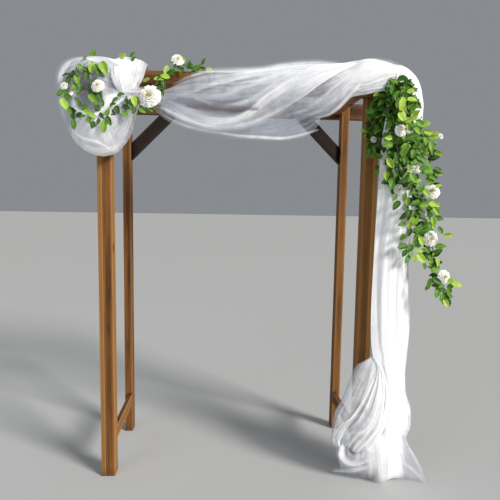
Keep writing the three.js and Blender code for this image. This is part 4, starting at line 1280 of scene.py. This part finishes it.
LEAF = printed_leaf()
print(LEAF.name, "has", len(LEAF.node_tree.nodes), "nodes")

# %% One leaf
LEAF_ROWS = 12
LEAF_COLUMNS = 7
DROOPS = (0.04, 0.24)  # how far a tip hangs down, as a share of the leaf's length
FOLDS = (0.15, 0.55)  # how steeply the two halves rise from the rib


def leaf_grid(length, droop, fold):
    """The points of one leaf: along x from its stalk, across y, its face to z."""
    rows, columns = np.linspace(0, 1, LEAF_ROWS), np.linspace(-1, 1, LEAF_COLUMNS)
    along, across = np.meshgrid(rows, columns, indexing="ij")
    half = 0.3 * np.sin(math.pi * along ** 0.85) ** 0.7 * (1 - 0.15 * along)
    waves = 0.02 * np.sin(13 * along) * np.abs(across)
    lift = fold * half * np.abs(across) - droop * along ** 2 + waves
    return length * np.stack([along - 0.5, across * half, lift], axis=-1), along, across


def leaf_bed(name, leaves, *nodes):
    """All leaves of a garland as one piece. A leaf is (middle, heading, face, length, tint)."""
    random = np.random.default_rng(len(leaves))
    grids, places = [], []
    for middle, heading, face, length, tint in leaves:
        heading = unit(np.asarray(heading, float))
        face = unit(face - np.dot(face, heading) * heading)
        grid, along, across = leaf_grid(length, random.uniform(*DROOPS), random.uniform(*FOLDS))
        grids.append(middle + grid @ np.array([heading, np.cross(face, heading), face]))
        places.append(np.stack([across, along, np.full(along.shape, tint)], axis=-1).reshape(-1, 3))
    piece = new_piece(name, *joined(grids), LEAF, {"leaf_place": np.concatenate(places)})
    print(name, "has", len(leaves), "leaves")
    return finish_piece(piece, "garland_leaf", *nodes)


print("a leaf has", len(grid_faces(LEAF_ROWS, LEAF_COLUMNS)), "faces")

# %% [markdown]
# ## Where the leaves grow
# Leaves could all be scattered by chance, but the eye knows the ones in front. So in both garlands the
# leaves that show clearly are listed one by one: middle, heading on the picture in degrees, length and
# tint. Their middles were picked and turned to millimetres in the same way. The others grow along the
# stems by chance, as densely and in as many greens as the photograph shows. They are half of the thin
# left garland and most of the thick right one.

# %% Placing leaves
LIST_LIFT = 6  # a listed leaf lies this far in front of its measured place
LEAF_LENGTHS = (40, 66)
LEAF_MARGIN = 0.3  # share of a leaf's length that it keeps clear of a bloom
BEHIND_BLOOM = 46  # a leaf that would cover a bloom grows this far behind instead
TURN_BACK = 0.6  # and its tip turns back by this much
BLOOMS = []  # the middle and the radius of each rose
for node in solids_in("rose_petal"):
    near, far = box_of(node)
    BLOOMS.append(((near + far) / 2, (far[0] - near[0]) / 2))


def listed_leaf(x, y, z, heading, length, tint, random):
    """A leaf from the list, with a small turn out of the picture's plane."""
    angle = math.radians(heading)
    outwards = np.array([math.cos(angle), random.uniform(-0.5, 0.1), math.sin(angle)])
    face = np.array([random.uniform(-0.5, 0.5), -1.0, random.uniform(-0.2, 0.7)])
    return np.array([x, y - LIST_LIFT, z], float), outwards, face, length, tint


def scattered_leaves(route, count, reach, random, tints, size=1.0):
    """Leaves by chance round a stem, pointing away from it and down, and behind the roses."""
    leaves = []
    for spot in smooth_through(route, count):
        turn = random.uniform(0, 2 * math.pi)
        away = np.array([math.cos(turn), -abs(random.normal(0.1, 0.3)), math.sin(turn)])
        middle = spot + away * reach * random.uniform(0.15, 1.0)
        heading = away + (0, 0, random.uniform(-1.2, 0.2))
        face = np.array([random.normal(0, 0.4), -1.0, random.normal(0.3, 0.35)])
        length = size * random.uniform(*LEAF_LENGTHS)
        if any(np.hypot(*(middle - bloom)[[0, 2]]) < radius + LEAF_MARGIN * length
               for bloom, radius in BLOOMS):
            middle[1] += BEHIND_BLOOM
            heading[1] += TURN_BACK
        leaves.append((middle, heading, face, length, random.uniform(*tints)))
    return leaves


print("leaves keep behind", len(BLOOMS), "blooms")

# %% Leaves that show on the left garland
LEFT_LEAVES = [  # x, y, z, heading, length and tint
    (-55, -230, 2168, 330, 37, 0.53), (-34, -230, 2157, 320, 37, 0.18),
    (-67, -230, 2138, 320, 41, 0.13), (-21, -230, 2121, 290, 37, 0.08), (54, -230, 2165, 295, 74, 0.73),
    (28, -230, 2143, 260, 50, 0.13), (-72, -230, 2105, 285, 50, 0.58), (-87, -230, 2073, 230, 41, 0.53),
    (-64, -230, 2050, 250, 41, 0.18), (-59, -230, 2078, 270, 37, 0.43), (-2, -190, 2239, 60, 46, 0.53),
    (136, -190, 2234, 20, 41, 0.88), (183, -190, 2241, 50, 37, 0.28), (27, -230, 2039, 300, 64, 0.13),
    (45, -230, 2003, 290, 37, 0.08), (1, -230, 2020, 315, 55, 0.63), (21, -230, 1979, 330, 37, 0.08),
    (-28, -230, 1963, 330, 50, 0.68), (-1, -230, 1943, 335, 41, 0.78), (-63, -230, 1992, 280, 32, 0.08),
    (-131, -230, 1993, 300, 64, 0.85), (-108, -230, 1961, 310, 41, 0.48),
    (-52, -230, 1934, 190, 37, 0.18), (-20, -230, 1921, 290, 41, 0.28), (-1, -230, 1898, 250, 41, 0.13),
    (-91, -230, 1898, 278, 50, 0.28), (42, -230, 1942, 300, 37, 0.08), (25, -230, 1913, 250, 32, 0.08),
    (50, -230, 1890, 266, 59, 0.68), (74, -230, 1919, 300, 55, 0.18), (70, -230, 1961, 60, 41, 0.63),
    (115, -230, 1972, 285, 46, 0.01), (156, -230, 1985, 340, 46, 0.03),
    (153, -230, 1952, 325, 46, 0.53), (196, -230, 2016, 285, 55, 0.88),
    (179, -230, 1988, 300, 41, 0.23), (133, -230, 2042, 20, 41, 0.23), (161, -230, 2010, 280, 37, 0.08),
    (251, -214, 2120, 20, 41, 0.68), (309, -180, 2137, 190, 59, 0.78), (318, -214, 2084, 345, 46, 0.03),
    (325, -214, 2061, 300, 37, 0.08), (243, -214, 1993, 300, 41, 0.28),
    (267, -214, 1981, 330, 37, 0.43), (94, -230, 1995, 15, 37, 0.08), (193, -230, 1969, 250, 37, 0.13),
    (-2, -230, 2167, 82, 55, 0.83), (17, -230, 2159, 280, 46, 0.28), (-30, -230, 2130, 250, 32, 0.23),
    (-74, -230, 2013, 130, 37, 0.13), (-37, -230, 1982, 20, 37, 0.33), (104, -230, 2018, 210, 37, 0.23),
    (-125, -230, 2049, 160, 37, 0.23), (-111, -230, 2026, 320, 41, 0.18),
    (184, -180, 2224, 60, 38, 0.23), (334, -176, 2148, 170, 53, 0.83), (330, -186, 2106, 280, 52, 0.03),
    (232, -214, 1976, 330, 42, 0.53), (292, -206, 1996, 340, 28, 0.43), (340, -150, 2186, 80, 53, 0.78),
    (410, -110, 2224, 0, 50, 0.08), (414, -108, 2256, 330, 40, 0.78), (446, -108, 2226, 80, 44, 0.33),
    (488, -104, 2212, 50, 59, 0.48), (472, -104, 2186, 330, 40, 0.08), (546, -100, 2210, 10, 34, 0.83),
    (364, -120, 2230, 150, 29, 0.43), (384, -120, 2216, 210, 34, 0.13), (520, -102, 2246, 70, 40, 0.33),
]
print(len(LEFT_LEAVES), "leaves listed")

# %% Left garland
LEFT_STEMS = [
    [(-10, -205, 2203), (-63, -212, 2173), (-117, -206, 2115), (-140, -204, 2050), (-130, -204, 1990),
     (-92, -206, 1944), (-34, -214, 1920), (22, -216, 1926), (70, -216, 1958), (112, -216, 1988),
     (156, -214, 2010), (200, -208, 2032), (244, -202, 2068), (293, -194, 2108), (338, -164, 2160),
     (385, -118, 2208), (450, -98, 2212), (530, -96, 2208)],
    [(-40, -214, 2186), (-18, -228, 2130), (-3, -230, 2062), (16, -228, 1998), (22, -218, 1930)],
]
LEFT_COUNTS = (58, 12)  # scattered leaves on each stem
# Tints below 0 are painted shade, for leaves deep in the garland's shade.
LEFT_REACH, LEFT_TINTS, LEFT_SIZE = 22, (-0.1, 0.45), 0.75
random = np.random.default_rng(7)
left_leaves = [listed_leaf(*leaf, random) for leaf in LEFT_LEAVES]
for stem, count in zip(LEFT_STEMS, LEFT_COUNTS):
    left_leaves += scattered_leaves(stem, count, LEFT_REACH, random, LEFT_TINTS, LEFT_SIZE)
leaf_bed("garland_left_leaves", left_leaves, "garland_left")

# %% Stems of the right garland
RIGHT_STEMS = [
    [(1500, -178, 2128), (1470, -152, 2080), (1446, -120, 2010), (1434, -108, 1927), (1456, -108, 1824),
     (1492, -124, 1719), (1545, -140, 1640)],
    [(1500, -178, 2128), (1506, -186, 2060), (1492, -180, 1980), (1490, -172, 1890), (1510, -170, 1800),
     (1540, -168, 1720)],
    [(1500, -178, 2128), (1550, -188, 2080), (1546, -190, 1953), (1572, -176, 1824), (1595, -160, 1694),
     (1638, -138, 1536), (1690, -118, 1402), (1722, -106, 1321)],
    [(1500, -178, 2128), (1536, -196, 2100), (1580, -184, 2030), (1644, -150, 1920), (1708, -122, 1801),
     (1730, -110, 1644), (1734, -104, 1511), (1748, -102, 1376), (1745, -104, 1294), (1769, -108, 1229),
     (1812, -116, 1141), (1845, -122, 1030)],
    [(1490, -160, 2122), (1424, -128, 2070), (1400, -112, 1990), (1396, -106, 1900), (1412, -106, 1820)],
]
print(len(RIGHT_STEMS), "stems")

# %% Leaves that show on the right garland
RIGHT_LEAVES = [  # x, y, z, heading, length and tint
    (1399, -150, 2097, 200, 42, 0.6), (1455, -224, 2102, 250, 47, 0.2), (1475, -228, 2073, 260, 47, 0.3),
    (1509, -228, 2098, 240, 52, 0.4), (1541, -242, 2100, 20, 42, 0.85), (1504, -235, 2038, 262, 68, 1.0),
    (1553, -237, 2058, 5, 57, 0.85), (1561, -235, 2020, 20, 47, 0.3), (1502, -235, 1975, 300, 52, 0.95),
    (1613, -206, 1949, 330, 62, 0.5), (1541, -234, 1928, 280, 42, 0.65),
    (1561, -228, 1880, 200, 73, 0.25),
    (1624, -188, 1882, 0, 57, 0.45), (1658, -192, 1907, 350, 57, 0.75), (1701, -188, 1904, 10, 47, 0.8),
    (1443, -230, 1872, 180, 42, 0.95), (1446, -226, 1838, 190, 57, 0.5), (1531, -222, 1816, 250, 73, 0.7),
    (1493, -217, 1781, 290, 52, 0.08), (1536, -215, 1767, 340, 52, 0.5),
    (1648, -176, 1824, 330, 47, 0.65),
    (1687, -180, 1850, 0, 47, 0.75), (1656, -172, 1804, 30, 47, 0.8), (1476, -213, 1746, 300, 42, 0.5),
    (1450, -206, 1686, 262, 52, 0.75), (1490, -208, 1697, 280, 57, 0.15),
    (1481, -200, 1637, 250, 57, 0.4),
    (1541, -203, 1663, 200, 52, 0.12), (1592, -203, 1679, 300, 62, 0.55),
    (1688, -161, 1714, 350, 57, 0.5),
    (1605, -193, 1608, 200, 52, 0.25), (1639, -197, 1629, 60, 52, 0.45),
    (1686, -154, 1606, 320, 57, 0.85),
    (1747, -156, 1643, 20, 36, 0.85), (1555, -190, 1582, 270, 47, 0.3), (1502, -193, 1581, 240, 47, 0.3),
    (1371, -150, 2012, 200, 47, 0.2), (1516, -187, 1540, 225, 62, 0.2), (1573, -187, 1557, 270, 47, 0.65),
    (1571, -184, 1526, 270, 47, 0.2), (1621, -187, 1552, 200, 57, 0.3), (1675, -151, 1538, 190, 42, 0.65),
    (1733, -152, 1549, 340, 68, 0.9), (1736, -150, 1512, 350, 52, 0.5), (1612, -178, 1495, 230, 52, 0.2),
    (1559, -178, 1484, 230, 52, 0.2), (1622, -173, 1454, 230, 57, 0.65), (1596, -173, 1438, 262, 47, 0.8),
    (1553, -173, 1442, 200, 42, 0.5), (1740, -149, 1460, 270, 52, 0.7), (1736, -149, 1433, 250, 36, 0.85),
    (1681, -164, 1412, 20, 68, 0.25), (1648, -167, 1417, 250, 47, 0.65),
    (1600, -167, 1401, 260, 47, 0.15),
    (1565, -164, 1374, 230, 42, 0.2), (1671, -157, 1353, 290, 57, 0.95), (1775, -149, 1412, 300, 47, 0.4),
    (1570, -157, 1323, 190, 73, 0.22), (1615, -154, 1315, 250, 52, 0.4),
    (1585, -152, 1288, 240, 47, 0.22),
    (1603, -152, 1256, 240, 52, 0.4), (1623, -152, 1289, 280, 47, 0.55), (1666, -152, 1300, 10, 42, 0.85),
    (1679, -151, 1262, 310, 68, 1.0), (1641, -151, 1257, 250, 42, 0.75), (1696, -154, 1220, 290, 42, 0.4),
    (1766, -154, 1242, 280, 52, 0.8), (1762, -157, 1200, 200, 47, 0.5), (1746, -161, 1146, 220, 52, 0.3),
    (1725, -161, 1135, 250, 47, 0.4), (1768, -162, 1141, 330, 52, 0.15), (1715, -163, 1109, 240, 42, 0.4),
    (1770, -165, 1082, 250, 62, 0.5), (1802, -165, 1093, 340, 47, 0.15), (1821, -168, 1023, 300, 52, 0.9),
    (1793, -167, 1056, 250, 47, 0.5), (1872, -165, 1126, 345, 62, 0.95), (1844, -163, 1147, 20, 47, 0.75),
    (1835, -165, 1093, 300, 47, 0.6), (1820, -148, 1386, 3, 52, 0.85), (1584, -220, 2000, 40, 42, 0.75),
    (1539, -236, 1957, 200, 42, 0.7), (1656, -188, 1878, 300, 47, 0.5), (1595, -224, 1847, 250, 47, 0.35),
    (1565, -211, 1728, 300, 42, 0.6), (1641, -165, 1759, 320, 42, 0.4), (1711, -159, 1684, 330, 47, 0.5),
    (1575, -200, 1638, 250, 42, 0.3), (1619, -203, 1664, 20, 42, 0.7), (1703, -158, 1658, 60, 36, 0.6),
    (1654, -178, 1506, 330, 42, 0.3), (1711, -150, 1486, 300, 42, 0.4), (1646, -162, 1385, 210, 42, 0.35),
    (1645, -157, 1343, 250, 47, 0.3), (1710, -150, 1305, 300, 42, 0.5), (1727, -152, 1268, 320, 36, 0.5),
    (1791, -164, 1115, 200, 42, 0.3),
    (1573, -215, 1941, 20, 44, 0.50), (1597, -211, 1913, 330, 51, 0.70),
    (1565, -217, 1871, 200, 58, 0.30), (1601, -211, 1838, 0, 48, 0.60),
    (1581, -213, 1803, 250, 55, 0.35), (1545, -221, 1831, 200, 45, 0.60),
    (1627, -204, 1780, 330, 52, 0.50), (1640, -203, 1950, 15, 59, 0.75),
    (1659, -200, 1911, 350, 49, 0.80), (1576, -214, 1985, 60, 56, 0.90),
    (1519, -224, 2021, 100, 46, 0.90), (1551, -218, 2042, 70, 53, 0.55),
    (1510, -226, 1981, 230, 60, 0.95), (1544, -220, 1959, 300, 50, 0.90),
    (1688, -195, 1887, 10, 57, 0.70), (1644, -203, 1865, 300, 47, 0.60),
    (1680, -197, 1837, 280, 54, 0.65), (1707, -192, 1858, 330, 44, 0.40),
    (1524, -225, 1815, 240, 51, 0.50), (1601, -207, 1759, 200, 58, 0.30),
    (1643, -198, 1730, 20, 48, 0.40), (1673, -192, 1716, 0, 55, 0.55),
    (1539, -219, 1766, 250, 45, 0.35), (1490, -220, 1706, 120, 52, 0.10),
    (1461, -223, 1750, 300, 59, 0.85), (1486, -228, 2043, 90, 49, 0.80),
    (1516, -224, 2079, 80, 56, 0.60), (1561, -216, 2063, 20, 46, 0.70),
    (1474, -228, 2082, 60, 53, 0.45), (1777, -154, 1327, 15, 60, 0.55),
    (1607, -195, 1552, 200, 50, 0.20), (1665, -184, 1542, 10, 57, 0.55),
    (1716, -176, 1548, 340, 47, 0.90), (1737, -170, 1512, 300, 54, 0.75),
    (1597, -192, 1464, 230, 44, 0.70), (1724, -170, 1460, 280, 51, 0.80),
    (1635, -183, 1417, 200, 58, 0.35), (1674, -177, 1428, 30, 48, 0.20),
    (1577, -197, 1495, 250, 55, 0.05),
]
print(len(RIGHT_LEAVES), "leaves listed")

# %% Right garland
# Tints below 0 are painted shade, for leaves deep in the garland's shade.
RIGHT_SPREAD = [  # leaves on each stem, how far out they reach, how light they are
    (160, 54, (-0.15, 0.65)), (155, 60, (-0.25, 0.65)), (150, 56, (-0.15, 0.7)), (125, 48, (-0.05, 0.7)),
    (62, 44, (-0.25, 0.6)),
]
random = np.random.default_rng(11)
right_leaves = [listed_leaf(*leaf, random) for leaf in RIGHT_LEAVES]
for stem, (count, reach, tints) in zip(RIGHT_STEMS, RIGHT_SPREAD):
    right_leaves += scattered_leaves(stem, count, reach, random, tints)
leaf_bed("garland_right_leaves", right_leaves, "garland_right")

# %% [markdown]
# ## Stems
# Each garland is wired: a steel wire in green paper tape, bent by hand. The tape is matt, and its
# turns show as a fine slanted ribbing. A curve with a round bevel would make them too; rings of points
# round each route do it with the same tools as the rest.

# %% Stem material
TAPE_TURN = 0.008
TAPE_SHADE, TAPE_GREEN = "#3f6a2a", "#7ea456"


def paper_tape():
    """Matt green paper tape, wound round a wire."""
    material, tree, output = new_material("paper_tape")
    place = add_node(tree, "ShaderNodeTexCoord").outputs["Object"]
    turns = add_node(tree, "ShaderNodeTexWave", {
        "Vector": place, "Scale": WAVE_PERIOD / TAPE_TURN, "Distortion": 1.0}, bands_direction="DIAGONAL")
    shade = add_node(tree, "ShaderNodeMix", {
        0: turns.outputs["Fac"], 6: linear(TAPE_SHADE), 7: linear(TAPE_GREEN)}, data_type="RGBA")
    surface = add_node(tree, "ShaderNodeBsdfPrincipled", {"Base Color": shade.outputs[2], "Roughness": 0.8})
    tree.links.new(surface.outputs[0], output.inputs[0])
    return material


TAPE = paper_tape()
print(TAPE.name, "has", len(TAPE.node_tree.nodes), "nodes")

# %% Stems
STEM_RADIUS = 2.2
STEM_SIDES = 8
STEM_TIP = 0.45  # radius of a stem's tip, as a share of its radius


def stem_points(route, radius):
    """A grid of points round a smooth stem, tapered at its tip."""
    route = smooth_through(route, max(6, len(route) * 5))
    tangent = unit(np.gradient(route, axis=0))
    first = unit(np.cross(tangent, (0.3, 1.0, 0.2)))
    second = np.cross(tangent, first)
    turn = np.linspace(0, 2 * math.pi, STEM_SIDES, endpoint=False)[:, None]
    thick = radius * np.linspace(1, STEM_TIP, len(route))[:, None, None]
    return route[:, None] + thick * (first[:, None] * np.cos(turn) + second[:, None] * np.sin(turn))


def stem_piece(name, routes, radius, *nodes):
    """Stems joined as one piece."""
    grids = [stem_points(route, radius) for route in routes]
    return finish_piece(new_piece(name, *joined(grids, closed=True), TAPE), "garland_leaf", *nodes)


stem_piece("garland_left_stems", LEFT_STEMS, STEM_RADIUS, "garland_left")
stem_piece("garland_right_stems", RIGHT_STEMS, STEM_RADIUS, "garland_right")
print(len(LEFT_STEMS) + len(RIGHT_STEMS), "stems")

# %% [markdown]
# ## Roses
# The blooms are full-blown fabric roses: brushed ivory polyester petals with rolled rims, whiter at the
# rim and creamy in the heart. Real ones are stacked from layers of die-cut petals. Here each petal is a
# small grid of its own, set at the golden angle as in a living flower: upright and tight in the heart,
# open outside, with rims that are curled out and ruffled. A full bloom has 60 petals and a bud 28.

# %% Petal material
CREAMY_HEART, WHITE_RIM = "#f0eabb", "#fbf9f2"


def ivory_petal():
    """Brushed ivory polyester petal. petal_place holds across, along and how far out the petal sits."""
    material, tree, output = new_material("ivory_petal")
    place = add_node(tree, "ShaderNodeAttribute", attribute_name="petal_place").outputs["Vector"]
    parts = add_node(tree, "ShaderNodeSeparateXYZ", {0: place}).outputs
    heart = add_node(tree, "ShaderNodeMath", {0: parts[1], 1: 0.4, 2: parts[2]}, operation="MULTIPLY_ADD")
    pale = add_node(tree, "ShaderNodeMapRange", {0: heart.outputs[0], 1: 0.25, 2: 0.85})
    weave = add_node(tree, "ShaderNodeTexNoise", {"Vector": place, "Scale": 9.0, "Detail": 2.0})
    cream = add_node(tree, "ShaderNodeMix", {
        0: pale.outputs[0], 6: linear(CREAMY_HEART), 7: linear(WHITE_RIM)}, data_type="RGBA")
    cream = add_node(tree, "ShaderNodeMix", {
        0: 0.12, 6: cream.outputs[2], 7: weave.outputs["Color"]}, data_type="RGBA", blend_type="SOFT_LIGHT")
    bump = add_node(tree, "ShaderNodeBump", {
        "Height": weave.outputs[0], "Strength": 0.15, "Distance": 0.001})
    surface = add_node(tree, "ShaderNodeBsdfPrincipled", {
        "Base Color": cream.outputs[2], "Roughness": 0.7, "Normal": bump.outputs[0],
        "Sheen Weight": 0.2, "Sheen Roughness": 0.5, "IOR": 1.5})
    tree.links.new(surface.outputs[0], output.inputs[0])
    return material


PETAL = ivory_petal()
print(PETAL.name, "has", len(PETAL.node_tree.nodes), "nodes")

# %% One petal
PETAL_STEPS = 12
CURL, CURL_START = 85, 0.7  # how far a rim curls out, in degrees, and where on the petal it starts
CLOSE, CLOSE_START = 60, 0.45  # how far a petal of the heart closes over it, and where it starts


def petal_grid(share, turn, random):
    """One petal of a rose of radius about 1, foot to rim. share is 0 in the heart and 1 outside."""
    rows, columns = np.linspace(0, 1, PETAL_STEPS), np.linspace(-1, 1, PETAL_STEPS)
    along, across = np.meshgrid(rows, columns, indexing="ij")
    curled = min(1.0, 5 * share) * math.radians(CURL) * np.clip(along - CURL_START, 0, 1)
    closed = math.radians(CLOSE) * (1 - share) ** 4 * np.clip(along - CLOSE_START, 0, 1)
    lean = math.radians(6 + 46 * share) * (0.4 + 0.6 * along)
    lean = lean + curled / (1 - CURL_START) - closed / (1 - CLOSE_START)
    length = 0.62 + 0.24 * share
    rise = length / (PETAL_STEPS - 1) * np.cumsum(np.cos(lean), axis=0)
    reach = 0.03 + 0.36 * share + length / (PETAL_STEPS - 1) * np.cumsum(np.sin(lean), axis=0)
    rise = rise - 0.4 * share - 0.08 * across ** 2 * along * length
    ruffle = (np.sin(5 * across + 9 * turn) + 0.7 * np.sin(11 * across + 4 * turn)) * along ** 2
    reach = np.maximum(reach, 0.01) + 0.03 * ruffle
    rise = rise + 0.055 * ruffle
    bulge = 0.4 + 0.6 * np.sin(math.pi * np.clip(along * 0.55 + 0.05, 0, 1))
    half = math.radians(78 - 36 * share) * bulge
    angle = turn + across * half + random.uniform(-0.12, 0.12)
    points = np.stack([reach * np.cos(angle), reach * np.sin(angle), rise], axis=-1)
    places = np.stack([across, along, np.full(along.shape, share)], axis=-1)
    return points, places.reshape(-1, 3)


print("a petal has", len(grid_faces(PETAL_STEPS, PETAL_STEPS)), "faces")

# %% The roses
GOLDEN_ANGLE = math.pi * (3 - math.sqrt(5))
FULL_ROSE = 60
BUD = 28
BUD_RADIUS = 21.0  # a bloom no wider than this is a bud
CROWDING = 0.8  # below 1, the petals are set closer together outside than in the heart
FULLNESS = 1.12  # how far the loose petals reach, as a share of the solid's radius
SUNK = 0.25  # how far a bloom sits back in the leaves, as a share of its radius
BLOOM_SHIFTS = {  # a bloom nods or leans on its wire, so some sit beside the middle of their solid
    "rose_left_1": (0, 0, -16), "rose_left_2": (14, 0, -12), "rose_right_1": (-46, 0, -17),
    "rose_right_2": (-28, 0, -6), "rose_right_3": (-25, 0, 9), "rose_right_4": (-25, 0, 22),
    "rose_right_9": (-20, 0, 30), "rose_right_11": (-8, 0, -8), "rose_right_12": (16, 0, 13),
    "rose_right_8": (12, 0, 2),
}


def rose(node, seed):
    """The petals that stand for one rose solid: its middle and radius come from the solid's box."""
    random = np.random.default_rng(seed)
    low, high = box_of(node)
    middle, radius = (low + high) / 2 + BLOOM_SHIFTS.get(node, (0, 0, 0)), (high[0] - low[0]) / 2
    count = FULL_ROSE if radius > BUD_RADIUS else BUD
    shares = ((np.arange(count) + 0.5) / count) ** CROWDING
    petals = [petal_grid(share, number * GOLDEN_ANGLE, random) for number, share in enumerate(shares)]
    grids, places = zip(*petals)
    points, faces = joined(grids)
    points = points * FULLNESS * radius / np.linalg.norm(points[:, :2], axis=1).max()
    points[:, 2] -= SUNK * radius
    facing = unit(np.array([random.uniform(-0.3, 0.3), -1.0, random.uniform(0.05, 0.5)]))
    right = unit(np.cross(facing, (0, 0, 1)))
    points = middle + points @ np.array([right, np.cross(facing, right), facing])
    piece = new_piece(node + "_petals", points, faces, PETAL, {"petal_place": np.concatenate(places)})
    return finish_piece(piece, "rose_petal", node)


for number, node in enumerate(solids_in("rose_petal")):
    rose(node, 60 + number)
print(len(BLOOMS), "roses")
